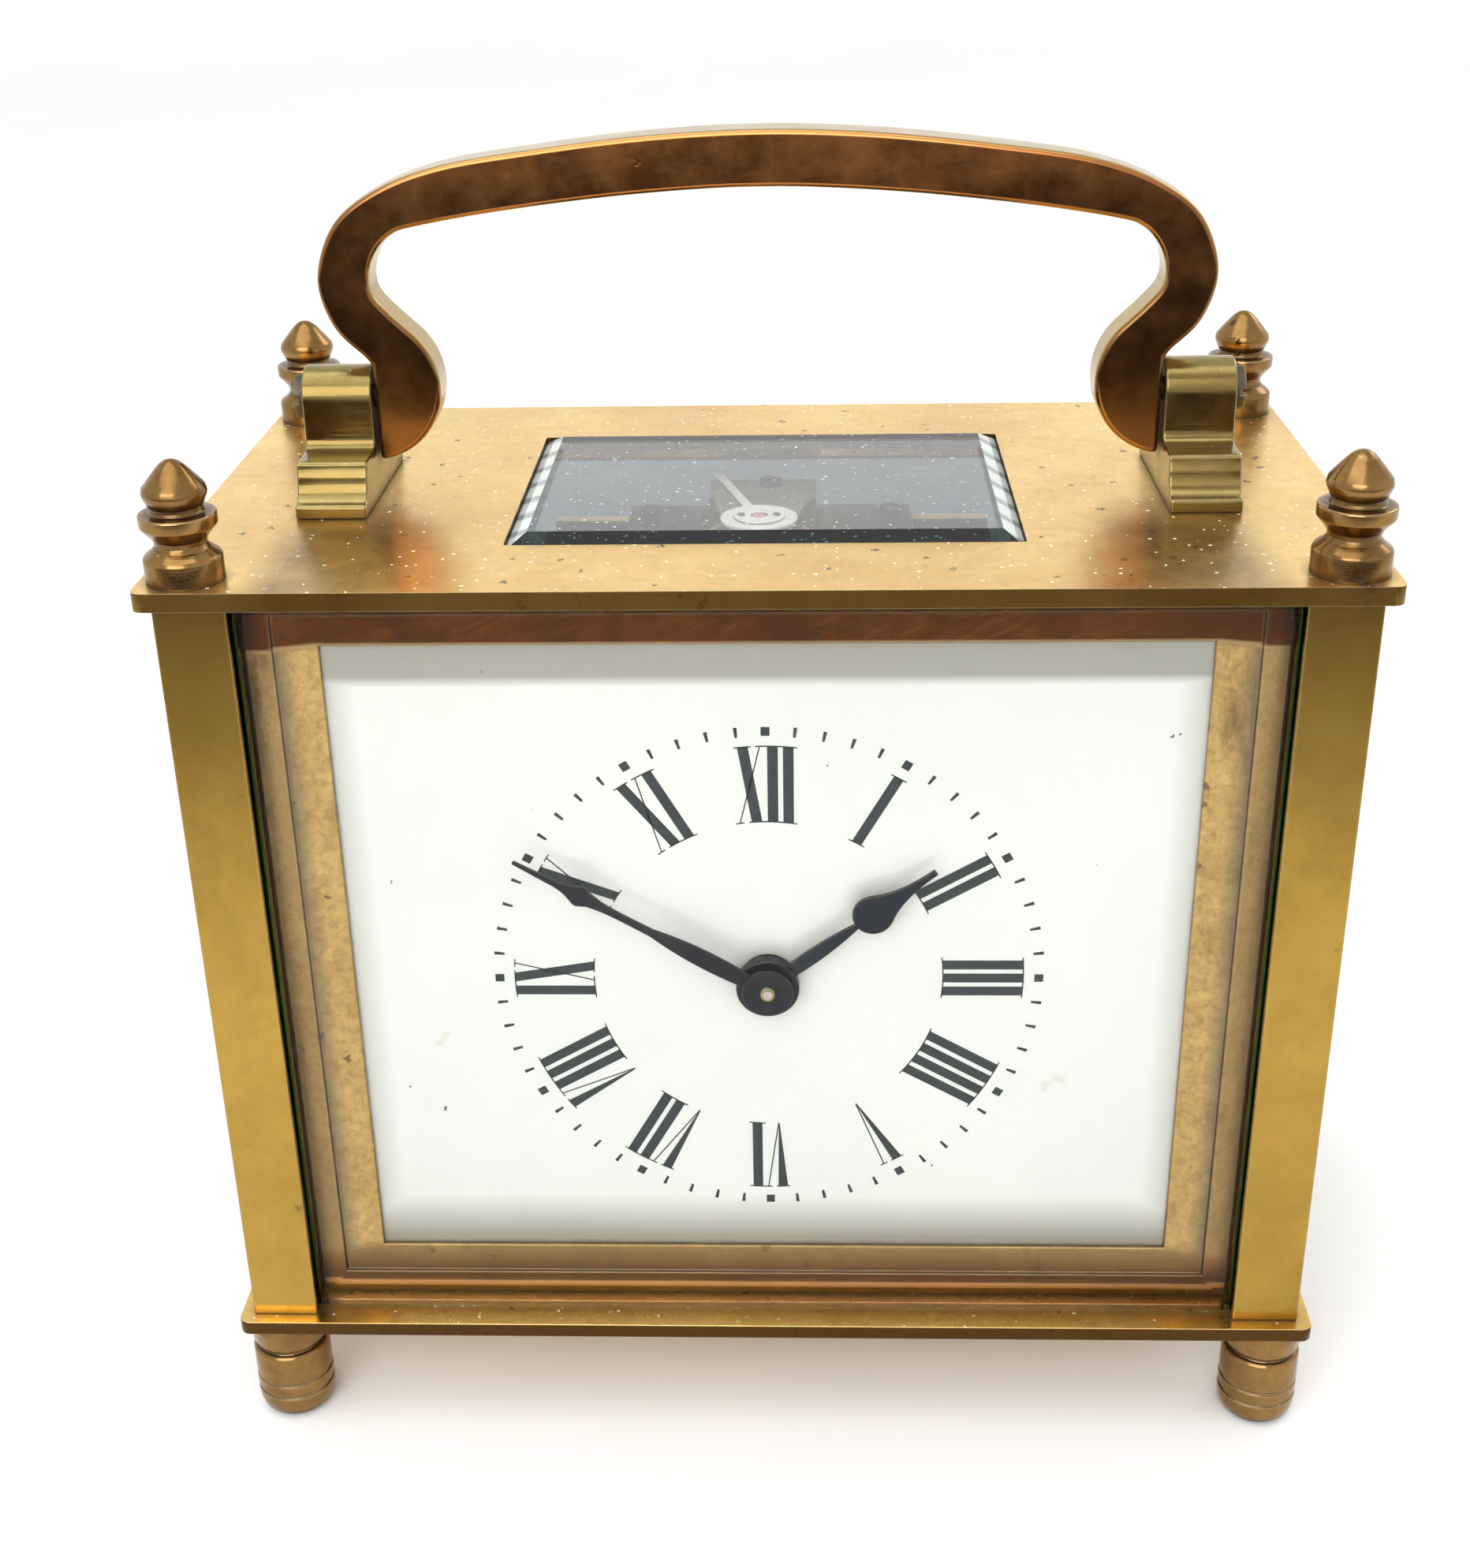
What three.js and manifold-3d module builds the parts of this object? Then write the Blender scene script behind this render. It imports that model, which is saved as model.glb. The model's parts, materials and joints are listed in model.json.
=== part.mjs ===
// A wide brass carriage clock: glazed case, folding handle, enamel dial and an eight-day
// going movement with a lever platform. Millimetres, +Z up, the dial looks along -Y.
// The origin is the centre of the rectangle the clock covers, on the surface it stands on.
import * as THREE from 'three';
import { mergeVertices } from 'three/addons/utils/BufferGeometryUtils.js';
import { ConvexGeometry } from 'three/addons/geometries/ConvexGeometry.js';
import Module from 'manifold-3d';

const wasm = await Module();
wasm.setup();

// ---------------------------------------------------------------- driving dimensions
const plateWidth = 120;
const plateDepth = 66;
const plateCorner = 1.2;
const footHeight = 12.5;
const basePlateThick = 1.7;
const topPlateThick = 1.9;
const bodyHeight = 87.0;          // upper face of the base plate to upper face of the top plate
const plateOverhang = 1.5;
const pillarSide = 7.2;
const studRadius = 1.2;
const fitGap = 0.3;

const baseTop = footHeight + basePlateThick;
const roof = baseTop + bodyHeight;
const ceiling = roof - topPlateThick;
const pillarX = plateWidth / 2 - plateOverhang - pillarSide / 2;
const pillarY = plateDepth / 2 - plateOverhang - pillarSide / 2;
const bayHalfX = pillarX - pillarSide / 2;
const bayHalfY = pillarY - pillarSide / 2;
const cornerX = 55.5;             // axis of every foot, stud and finial
const cornerY = 28.7;

const paneRim = 1.4;              // glass thickness left at the edge of a bevelled pane
const paneThick = 2.1;
const paneBevel = 4.5;
const grooveDepth = 1.3;
const grooveSlack = 0.12;
const paneInset = 0.9;            // outer pillar face to the front of the glass rim
const roofWindowX = 26.1;         // half sizes of the opening in the top plate
const roofWindowY = 19.4;

const dialZ = baseTop + 40.3;     // height of the hands' axis
const dialFront = -24.6;
const dialThick = 1.1;
const dialHalfX = 45.6;
const maskOpenX = 44.25;
const maskOpenLow = baseTop + 5.4;
const maskOpenHigh = baseTop + 78.5;
const maskFront = -26.6;

const pivotRise = 10.3;           // handle pivot above the top plate
const pivotZ = roof + pivotRise;
const bracketInner = 41.45;
const bracketWidth = 7.4;
const handleThick = 5.0;

const frontPlateY = [-21.2, -19.4];
const backPlateY = [18.4, 20.2];
const movementHalfX = 25.5;
const movementTop = roof - 11.6;

// ---------------------------------------------------------------- materials
function metal(color, roughness) {
  return new THREE.MeshStandardMaterial({ color, roughness, metalness: 1 });
}
function agedBrass() {
  return metal(0xb08a45, 0.38);
}
function polishedBrass() {
  return metal(0xc9a24f, 0.25);
}
function movementBrass() {
  return metal(0xc8a860, 0.35);
}
function darkBrass() {
  return metal(0x8a6a3c, 0.5);
}
function blackenedSteel() {
  return metal(0x1c1a22, 0.45);
}
function brightSteel() {
  return metal(0xb8b8b6, 0.3);
}
function bluedSteel() {
  return metal(0x27356b, 0.3);
}
function enamel() {
  return new THREE.MeshStandardMaterial({ color: 0xf2f2ec, roughness: 0.12, metalness: 0 });
}
function jewel() {
  return new THREE.MeshStandardMaterial({ color: 0xb0224a, roughness: 0.05, metalness: 0 });
}
function crystal() {
  return new THREE.MeshStandardMaterial({
    color: 0xd8ece6, roughness: 0.02, metalness: 0, transparent: true, opacity: 0.25,
  });
}

// ---------------------------------------------------------------- solid helpers
function solidOf(geometry) {
  const bare = geometry.clone();
  bare.deleteAttribute('normal');
  bare.deleteAttribute('uv');
  const merged = mergeVertices(bare, 1e-4);
  return new wasm.Manifold(new wasm.Mesh({
    numProp: 3,
    vertProperties: new Float32Array(merged.attributes.position.array),
    triVerts: new Uint32Array(merged.index.array),
  }));
}
function geometryOf(solid) {
  const mesh = solid.getMesh();
  const geometry = new THREE.BufferGeometry();
  geometry.setAttribute('position', new THREE.BufferAttribute(mesh.vertProperties, 3));
  geometry.setIndex(new THREE.BufferAttribute(mesh.triVerts, 1));
  geometry.computeVertexNormals();
  return geometry;
}
function cut(geometry, tools) {
  return geometryOf(tools.reduce((body, tool) => body.subtract(solidOf(tool)), solidOf(geometry)));
}
function join(geometry, parts) {
  return geometryOf(parts.reduce((body, part) => body.add(solidOf(part)), solidOf(geometry)));
}
function block(x0, x1, y0, y1, z0, z1) {
  const box = new THREE.BoxGeometry(x1 - x0, y1 - y0, z1 - z0);
  return box.translate((x0 + x1) / 2, (y0 + y1) / 2, (z0 + z1) / 2);
}
function rodX(radius, x0, x1, y, z, sides = 20) {
  const rod = new THREE.CylinderGeometry(radius, radius, x1 - x0, sides).rotateZ(Math.PI / 2);
  return rod.translate((x0 + x1) / 2, y, z);
}
function rodY(radius, y0, y1, x, z, sides = 20) {
  const rod = new THREE.CylinderGeometry(radius, radius, y1 - y0, sides);
  return rod.translate(x, (y0 + y1) / 2, z);
}
function rodZ(radius, z0, z1, x, y, sides = 20) {
  const rod = new THREE.CylinderGeometry(radius, radius, z1 - z0, sides).rotateX(Math.PI / 2);
  return rod.translate(x, y, (z0 + z1) / 2);
}
function turned(profile, sides = 16) {
  const points = profile.map(([r, z]) => new THREE.Vector2(r, z));
  return new THREE.LatheGeometry(points, sides).rotateX(Math.PI / 2);
}
function roundedRect(halfX, halfY, radius) {
  const shape = new THREE.Shape();
  shape.absarc(halfX - radius, halfY - radius, radius, 0, Math.PI / 2);
  shape.absarc(radius - halfX, halfY - radius, radius, Math.PI / 2, Math.PI);
  shape.absarc(radius - halfX, radius - halfY, radius, Math.PI, Math.PI * 1.5);
  shape.absarc(halfX - radius, radius - halfY, radius, Math.PI * 1.5, Math.PI * 2);
  shape.closePath();
  return shape;
}
// A flat outline in X-Z, given thickness from y0 to y1.
function sheetY(shape, y0, y1, curveSegments = 8) {
  const options = { depth: y1 - y0, bevelEnabled: false, curveSegments };
  return new THREE.ExtrudeGeometry(shape, options).rotateX(Math.PI / 2).translate(0, y1, 0);
}
// A flat outline in X-Y, given thickness from z0 to z1.
function sheetZ(shape, z0, z1, curveSegments = 8) {
  const options = { depth: z1 - z0, bevelEnabled: false, curveSegments };
  return new THREE.ExtrudeGeometry(shape, options).translate(0, 0, z0);
}
// A pane lying in X-Y: its rim is thin, its table stands proud inside the ground bevel.
function bevelledPane(halfX, halfY, rim = paneRim, thick = paneThick, bevel = paneBevel) {
  const corners = [];
  for (const sx of [-1, 1]) {
    for (const sy of [-1, 1]) {
      corners.push(new THREE.Vector3(sx * halfX, sy * halfY, 0));
      corners.push(new THREE.Vector3(sx * halfX, sy * halfY, rim));
      corners.push(new THREE.Vector3(sx * (halfX - bevel), sy * (halfY - bevel), thick));
    }
  }
  return new ConvexGeometry(corners);
}

const clock = new THREE.Group();
function add(name, geometry, material, x = 0, y = 0, z = 0) {
  const mesh = new THREE.Mesh(geometry, material);
  mesh.name = name;
  mesh.position.set(x, y, z);
  clock.add(mesh);
  return mesh;
}
const corners = [
  ['front_left', -1, -1],
  ['front_right', 1, -1],
  ['back_left', -1, 1],
  ['back_right', 1, 1],
];

// ---------------------------------------------------------------- case: plates and pillars
function cornerHoles(z0, z1) {
  return corners.map(([, sx, sy]) => rodZ(studRadius + fitGap, z0, z1, sx * cornerX, sy * cornerY, 12));
}
function basePlate() {
  const shape = roundedRect(plateWidth / 2, plateDepth / 2, plateCorner);
  const plate = sheetZ(shape, footHeight, baseTop, 5);
  return cut(plate, cornerHoles(footHeight - 1, baseTop + 1));
}
function topPlate() {
  const shape = roundedRect(plateWidth / 2, plateDepth / 2, plateCorner);
  shape.holes.push(roundedRect(roofWindowX, roofWindowY, 0.4));
  const plate = sheetZ(shape, ceiling, roof, 5);
  return cut(plate, cornerHoles(ceiling - 1, roof + 1));
}
function pillar(sx, sy) {
  const half = pillarSide / 2;
  const x = sx * pillarX;
  const y = sy * pillarY;
  const post = block(x - half, x + half, y - half, y + half, baseTop, ceiling);
  const tools = [
    rodZ(studRadius + fitGap, baseTop - 1, baseTop + 6.3, sx * cornerX, sy * cornerY, 12),
    rodZ(studRadius + fitGap, ceiling - 6.3, ceiling + 1, sx * cornerX, sy * cornerY, 12),
  ];
  const wall = paneInset - grooveSlack;
  const slot = paneThick + 2 * grooveSlack;
  const outerX = pillarX + half - wall;
  const innerY = bayHalfY + grooveDepth;
  const sideSlot = [outerX - slot, outerX].map((v) => sx * v).sort((a, b) => a - b);
  const sideReach = [bayHalfY - 1, innerY].map((v) => sy * v).sort((a, b) => a - b);
  tools.push(block(...sideSlot, ...sideReach, baseTop - 1, ceiling + 1));
  if (sy < 0) {
    const outerY = pillarY + half - wall;
    const frontReach = [bayHalfX - 1, bayHalfX + grooveDepth].map((v) => sx * v).sort((a, b) => a - b);
    tools.push(block(...frontReach, -outerY, slot - outerY, baseTop - 1, ceiling + 1));
  }
  return cut(post, tools);
}
add('base_plate', basePlate(), agedBrass());
add('top_plate', topPlate(), agedBrass());
for (const [place, sx, sy] of corners) {
  add(`pillar_${place}`, pillar(sx, sy), polishedBrass());
}

// ---------------------------------------------------------------- feet and finials
const footProfile = [
  [0, 0], [2.9, 0], [3.9, 0.7], [4.35, 2.3], [4.3, 8.7], [3.85, 8.9], [3.85, 9.5], [4.2, 9.7],
  [4.2, footHeight], [studRadius, footHeight], [studRadius, footHeight + 6], [0, footHeight + 6],
];
const finialProfile = [
  [0, -6], [studRadius, -6], [studRadius, 0], [3.8, 0], [3.8, 2.45], [2.65, 3.5], [2.6, 4.2],
  [3.67, 5.5], [3.67, 6.7], [2.7, 7.1], [2.6, 7.7], [3.08, 8.6], [2.95, 9.6], [1.1, 11.5],
  [0, 11.9],
];
for (const [place, sx, sy] of corners) {
  add(`foot_${place}`, turned(footProfile), agedBrass(), sx * cornerX, sy * cornerY, 0);
  add(`finial_${place}`, turned(finialProfile), polishedBrass(), sx * cornerX, sy * cornerY, roof);
}

// ---------------------------------------------------------------- glasses
const paneSlack = 0.15;
const paneLow = baseTop + paneSlack;
const paneHigh = ceiling - paneSlack;
const paneMid = (paneLow + paneHigh) / 2;
const paneHalfZ = (paneHigh - paneLow) / 2;
const paneBack = paneInset + paneThick;
function frontGlass() {
  const pane = bevelledPane(bayHalfX + grooveDepth - paneSlack, paneHalfZ).rotateX(Math.PI / 2);
  return pane.translate(0, paneBack - (plateDepth / 2 - plateOverhang), paneMid);
}
function sideGlass(sx) {
  const halfY = bayHalfY + grooveDepth - paneSlack;
  const pane = bevelledPane(paneHalfZ, halfY).rotateY(sx * Math.PI / 2);
  return pane.translate(sx * (plateWidth / 2 - plateOverhang - paneBack), 0, paneMid);
}
function roofGlass() {
  return bevelledPane(roofWindowX - 0.1, roofWindowY - 0.1, 1.3, 2.6, 2.1).translate(0, 0, ceiling);
}
function roofGlassFrame() {
  const shape = roundedRect(roofWindowX + 3.5, roofWindowY + 2.6, 1);
  shape.holes.push(roundedRect(roofWindowX - 1.4, roofWindowY - 1.4, 0.5));
  return sheetZ(shape, ceiling - 1.1, ceiling, 4);
}
add('front_glass', frontGlass(), crystal());
add('left_glass', sideGlass(-1), crystal());
add('right_glass', sideGlass(1), crystal());
add('top_glass', roofGlass(), crystal());
add('top_glass_frame', roofGlassFrame(), darkBrass());

// ---------------------------------------------------------------- handle and its brackets
const lugRadius = 3.3;
function bracketProfile() {
  const shape = new THREE.Shape();
  shape.moveTo(-10.85, 0);
  shape.lineTo(-10.85, 1.3);
  shape.quadraticCurveTo(-8.9, 2.2, -8.3, 5.4);
  shape.lineTo(-4.7, 5.4);
  shape.quadraticCurveTo(-lugRadius, 5.4, -lugRadius, 6.8);
  shape.lineTo(-lugRadius, pivotRise);
  shape.absarc(0, pivotRise, lugRadius, Math.PI, 0, true);
  shape.lineTo(lugRadius, 6.8);
  shape.quadraticCurveTo(lugRadius, 5.4, 4.7, 5.4);
  shape.lineTo(8.3, 5.4);
  shape.quadraticCurveTo(8.9, 2.2, 10.85, 1.3);
  shape.lineTo(10.85, 0);
  shape.closePath();
  return shape;
}
const screwRadius = 1.25;
const screwReach = 37.5;          // how far the pivot screws reach into the handle
function bracket(sx) {
  const options = { depth: bracketWidth, bevelEnabled: false, curveSegments: 8 };
  const body = new THREE.ExtrudeGeometry(bracketProfile(), options);
  body.rotateX(Math.PI / 2).rotateZ(Math.PI / 2);
  body.translate(sx > 0 ? bracketInner : -bracketInner - bracketWidth, 0, roof);
  const span = [bracketInner - 1, bracketInner + bracketWidth + 1].map((v) => sx * v);
  span.sort((a, b) => a - b);
  return cut(body, [rodX(screwRadius + fitGap, ...span, 0, pivotZ)]);
}
function pivotScrew(sx) {
  const outer = bracketInner + bracketWidth;
  const shank = [screwReach, outer + 0.2].map((v) => sx * v).sort((a, b) => a - b);
  const head = [outer, outer + 1.1].map((v) => sx * v).sort((a, b) => a - b);
  const slot = [outer + 0.6, outer + 2].map((v) => sx * v).sort((a, b) => a - b);
  const body = join(rodX(screwRadius, ...shank, 0, pivotZ), [rodX(2.3, ...head, 0, pivotZ, 24)]);
  return cut(body, [block(...slot, -3, 3, pivotZ - 0.3, pivotZ + 0.3)]);
}
const handleFootX = 42.0;
const handleFootZ = 11.6;
const handleFootR = 7.8;
const handleFlatX = 41.2;
function handleOutline() {
  const outer = [[12, 36.8], [24, 35.5], [33, 34.1], [39.5, 31.8], [44, 28.4], [46.1, 23], [44.9, 18.1],
    [41.9, 14.9]];
  const inner = [[38.7, 19.2], [40.4, 21.2], [40.7, 23.2], [39.9, 25.5], [38.2, 27.3], [35.5, 28.2],
    [26, 29.7], [13, 31.1], [0, 31.7]];
  const drop = Math.acos((handleFlatX - handleFootX) / handleFootR);
  const leave = THREE.MathUtils.degToRad(130);
  const half = new THREE.Path();
  half.moveTo(0, 37.3);
  half.splineThru(outer.map(([x, z]) => new THREE.Vector2(x, z)));
  half.lineTo(handleFlatX, 14.0);
  half.lineTo(handleFlatX, handleFootZ - handleFootR * Math.sin(drop));
  half.absarc(handleFootX, handleFootZ, handleFootR, -drop, leave - 2 * Math.PI, true);
  half.splineThru(inner.map(([x, z]) => new THREE.Vector2(x, z)));
  const right = half.getPoints(3);
  const left = right.slice(1, -1).reverse().map((p) => new THREE.Vector2(-p.x, p.y));
  return new THREE.Shape([...right, ...left]);
}
function handle() {
  const edge = 0.6;
  const options = {
    depth: handleThick - 2 * edge, bevelEnabled: true, bevelThickness: edge,
    bevelSize: edge, bevelOffset: -edge, bevelSegments: 1,
  };
  const body = new THREE.ExtrudeGeometry(handleOutline(), options).rotateX(Math.PI / 2);
  body.translate(0, handleThick / 2 - edge, roof);
  const bores = [-1, 1].map((sx) => {
    const span = [screwReach - 0.5, handleFlatX + 1].map((v) => sx * v).sort((a, b) => a - b);
    return rodX(screwRadius + fitGap, ...span, 0, pivotZ);
  });
  return cut(body, bores);
}
add('bracket_left', bracket(-1), agedBrass());
add('bracket_right', bracket(1), agedBrass());
add('pivot_screw_left', pivotScrew(-1), darkBrass());
add('pivot_screw_right', pivotScrew(1), darkBrass());
add('handle', handle(), agedBrass());

// ---------------------------------------------------------------- rear door
const doorMidY = 29.3;
const doorHalfThick = 1.4;
const doorLow = baseTop + 0.5;
const doorHigh = ceiling - 0.5;
const doorHingeX = bayHalfX - 1.9;
const doorFreeX = -(bayHalfX - 0.4);
const doorStile = 5.2;
const pinRadius = 0.7;
const pinReach = 1.2;
const doorFront = doorMidY - doorHalfThick;
const doorBack = doorMidY + doorHalfThick;
const doorLip = 0.8;              // rebate that the door glass drops into
const knobShank = 0.8;
function doorFrame() {
  const leaf = block(doorFreeX, doorHingeX, doorFront, doorBack, doorLow, doorHigh);
  const knuckle = rodZ(doorHalfThick, doorLow, doorHigh, doorHingeX, doorMidY, 20);
  const windowX = [doorFreeX + doorStile, doorHingeX + doorHalfThick - doorStile];
  const windowZ = [doorLow + doorStile, doorHigh - doorStile];
  const rebateX = [windowX[0] - doorLip, windowX[1] + doorLip];
  const rebateZ = [windowZ[0] - doorLip, windowZ[1] + doorLip];
  return cut(join(leaf, [knuckle]), [
    block(...windowX, doorFront - 1, doorBack + 1, ...windowZ),
    block(...rebateX, doorFront - 1, doorMidY + 0.6, ...rebateZ),
    rodZ(pinRadius + fitGap, doorLow - 1, doorLow + 4, doorHingeX, doorMidY, 12),
    rodZ(pinRadius + fitGap, doorHigh - 4, doorHigh + 1, doorHingeX, doorMidY, 12),
    rodY(knobShank + fitGap, doorFront - 1, doorBack + 1, knobX, knobZ, 12),
  ]);
}
const knobX = doorFreeX + 2.7;
const knobZ = (doorLow + doorHigh) / 2;
function doorGlass() {
  const reach = doorStile - doorLip + 0.2;
  const spanX = [doorFreeX + reach, doorHingeX + doorHalfThick - reach];
  return block(...spanX, doorFront, doorMidY + 0.5, doorLow + reach, doorHigh - reach);
}
function doorKnob() {
  const profile = [[0, -1.6], [knobShank, -1.6], [knobShank, 1.55], [1.0, 1.75], [1.5, 2.2],
    [1.7, 2.7], [1.5, 3.2], [0.8, 3.5], [0, 3.55]];
  return turned(profile, 20).rotateX(-Math.PI / 2).translate(knobX, doorMidY, knobZ);
}
function hingePin(z0, z1) {
  return rodZ(pinRadius, z0, z1, doorHingeX, doorMidY, 16);
}
add('rear_door', doorFrame(), agedBrass());
add('rear_door_glass', doorGlass(), crystal());
add('rear_door_knob', doorKnob(), polishedBrass());
add('door_pin_bottom', hingePin(baseTop, doorLow + pinReach + 2), brightSteel());
add('door_pin_top', hingePin(doorHigh - pinReach - 2, ceiling), brightSteel());

// ---------------------------------------------------------------- dial and mask
const dialMidZ = (maskOpenLow + maskOpenHigh) / 2;
const dialHalfZ = (maskOpenHigh - maskOpenLow) / 2 + 1.2;
const dialFeet = [[-22, 80], [22, 80], [0, 22]];
function movedShape(shape, x, z) {
  return new THREE.Shape(shape.getPoints(6).map((p) => new THREE.Vector2(p.x + x, p.y + z)));
}
function dial() {
  const plate = movedShape(roundedRect(dialHalfX, dialHalfZ, 1), 0, dialMidZ);
  plate.holes.push(new THREE.Path().absarc(0, dialZ, 2.9, 0, Math.PI * 2, true));
  const body = sheetY(plate, dialFront, dialFront + dialThick, 12);
  const feet = dialFeet.map(([x, z]) => rodY(0.8, dialFront + 0.5, frontPlateY[0], x, z, 12));
  return join(body, feet);
}
function dialMask() {
  const outerX = bayHalfX - 0.15;
  const low = baseTop + 0.05;
  const high = ceiling - 0.3;
  const step = 2.6;
  const fall = 1.4;                 // how far the moulding slopes back from the rim's face
  const sideThick = 0.9;
  const sideBack = -18.5;
  const back = dialFront - 0.05;
  const rim = block(-outerX, outerX, maskFront, back, low, high);
  const halfOpenZ = (maskOpenHigh - maskOpenLow) / 2;
  // the sloping inner moulding, narrowing from the step line down to the opening
  const funnel = new ConvexGeometry([-1, 1].flatMap((sx) => [-1, 1].flatMap((sz) => [
    new THREE.Vector3(sx * (outerX - step), maskFront - 0.5, (sz > 0 ? high : low) - sz * step),
    new THREE.Vector3(sx * (outerX - step), maskFront + 0.4, (sz > 0 ? high : low) - sz * step),
    new THREE.Vector3(sx * maskOpenX, maskFront + fall, dialMidZ + sz * halfOpenZ),
  ])));
  const window = block(-maskOpenX, maskOpenX, maskFront - 1, back + 1, maskOpenLow, maskOpenHigh);
  const sides = [-1, 1].map((sx) => {
    const span = [outerX - sideThick, outerX].map((v) => sx * v).sort((a, b) => a - b);
    return block(...span, maskFront + 0.3, sideBack, low, high);
  });
  return cut(join(rim, sides), [funnel, window]);
}
add('dial', dial(), enamel());
add('dial_mask', dialMask(), agedBrass());

// ---------------------------------------------------------------- wheels and pinions
// An outline with `count` teeth of the given share of the pitch, a tooth centred on `aim`.
function toothed(count, module_, share, aim, addendum, dedendum, tipShare) {
  const pitch = (2 * Math.PI) / count;
  const radius = (count * module_) / 2;
  const points = [];
  for (let i = 0; i < count; i += 1) {
    const mid = aim + i * pitch;
    const root = (pitch * share) / 2;
    const tip = root * tipShare;
    for (const [angle, r] of [
      [mid - root, radius - dedendum * module_],
      [mid - tip, radius + addendum * module_],
      [mid + tip, radius + addendum * module_],
      [mid + root, radius - dedendum * module_],
    ]) {
      points.push(new THREE.Vector2(r * Math.cos(angle), r * Math.sin(angle)));
    }
  }
  return new THREE.Shape(points);
}
function wheelShape(count, module_, aim) {
  return toothed(count, module_, 0.5, aim, 0.8, 1.1, 0.4);
}
function pinionShape(count, module_, aim) {
  return toothed(count, module_, 0.4, aim, 0.7, 1.2, 0.62);
}
// Four crossings: windows between the rim, the hub and the arms of a wheel.
function crossings(shape, outer, inner, arm) {
  for (let i = 0; i < 4; i += 1) {
    const from = (i * Math.PI) / 2;
    const to = from + Math.PI / 2;
    const path = new THREE.Path();
    path.absarc(0, 0, outer, from + arm / outer, to - arm / outer, false);
    path.absarc(0, 0, inner, to - arm / inner, from + arm / inner, true);
    path.closePath();
    shape.holes.push(path);
  }
  return shape;
}
function meshHalf(count) {
  return Math.PI / count;
}
const steelArbor = 0.6;
// Where an axis lies: so far sideways from another, and the stated distance away from it.
function axisFrom(from, distance, sideways, up) {
  return { x: from.x + sideways, z: from.z + up * Math.sqrt(distance ** 2 - sideways ** 2) };
}
function bearing(from, to) {
  return Math.atan2(to.z - from.z, to.x - from.x);
}

const centreWheelTeeth = 56;
const thirdPinionLeaves = 7;
const thirdWheelTeeth = 45;
const contratePinionLeaves = 6;
const contrateTeeth = 54;
const escapePinionLeaves = 6;
const greatTeeth = 60;
const centrePinionLeaves = 10;
const cannonLeaves = 10;
const minuteWheelTeeth = 30;
const minutePinionLeaves = 8;
const hourWheelTeeth = 32;

const thirdGap = 14.4;            // distances between meshing axes
const contrateGap = 14.28;
const motionGap = 7.2;
const greatGap = 21;
const trainModule = (2 * thirdGap) / (centreWheelTeeth + thirdPinionLeaves);
const thirdModule = (2 * contrateGap) / (thirdWheelTeeth + contratePinionLeaves);
const greatModule = (2 * greatGap) / (greatTeeth + centrePinionLeaves);
const motionModule = (2 * motionGap) / (cannonLeaves + minuteWheelTeeth);
const hourModule = (2 * motionGap) / (minutePinionLeaves + hourWheelTeeth);
const contrateRadius = 12.9;
const escapeModule = (2 * contrateRadius) / contrateTeeth;
const escapeY = -5.2;
const centre = { x: 0, z: dialZ };
const third = axisFrom(centre, thirdGap, 11.5, 1);
const contrate = axisFrom(third, contrateGap, -12.5, 1);
const barrelPlace = axisFrom(centre, greatGap, -6, -1);
const minutePlace = axisFrom(centre, motionGap, -6.2, -1);

// ---------------------------------------------------------------- going train
// Where each wheel and pinion sits along Y, front face first.
const centreWheelY = [-16.6, -15.8];
const centrePinionY = [-2.8, -0.4];
const cannonY = [-22.2, -21.5];
const thirdPinionY = [-17.4, -15.0];
const thirdWheelY = [-12.6, -11.8];
const contratePinionY = [-13.4, -11.0];
const contrateDiscY = [-9.7, -9.0];
const greatWheelY = [-2.2, -1.2];
const minuteWheelY = [-22.1, -21.6];
const minutePinionY = [-23.1, -21.9];
const hourWheelY = [-23.0, -22.5];
const hourPipeY = [-26.2, -22.6];
const arborTipY = -28.3;          // the centre arbor shows in front of the minute hand
const hubRadius = 2.6;
const centreHubRadius = 3.2;
const armHalf = 0.8;
const runGap = 0.1;
const pivotRadius = 0.4;
const pivotHole = 0.55;
const arborFront = frontPlateY[1] + runGap;
const arborBack = backPlateY[0] - runGap;
// An arbor between the plates with a fine pivot at each end.
function arbor(radius) {
  return join(rodY(radius, arborFront, arborBack, 0, 0, 12), [
    rodY(pivotRadius, frontPlateY[0] + 0.3, backPlateY[1] - 0.3, 0, 0, 10),
  ]);
}
function centreArbor() {
  const toBarrel = bearing(centre, barrelPlace);
  const toThird = bearing(centre, third);
  const toothedRim = wheelShape(centreWheelTeeth, trainModule, toThird);
  const wheel = crossings(toothedRim, 10.6, centreHubRadius, armHalf);
  const pinion = pinionShape(centrePinionLeaves, greatModule, toBarrel);
  const cannon = pinionShape(cannonLeaves, motionModule, bearing(centre, minutePlace));
  return join(rodY(0.9, -26.8, 21.2, 0, 0, 14), [
    sheetY(wheel, ...centreWheelY, 3),
    sheetY(pinion, ...centrePinionY),
    sheetY(cannon, ...cannonY),
    rodY(0.72, arborTipY, -26, 0, 0, 14),
    block(-0.75, 0.75, 21, 24.4, -0.75, 0.75),
  ]);
}
function thirdArbor() {
  const toContrate = bearing(third, contrate);
  const wheel = crossings(wheelShape(thirdWheelTeeth, thirdModule, toContrate), 11.2, hubRadius, armHalf);
  const aim = bearing(third, centre) + meshHalf(thirdPinionLeaves);
  return join(arbor(0.5), [
    sheetY(pinionShape(thirdPinionLeaves, trainModule, aim), ...thirdPinionY),
    sheetY(wheel, ...thirdWheelY, 3),
  ]);
}
const crownHalf = 0.4;            // half the radial thickness of the contrate crown
const crownShare = 0.36;          // share of the pitch that one crown tooth fills
const crownMid = escapeY - (escapePinionLeaves * escapeModule) / 2;
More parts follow.
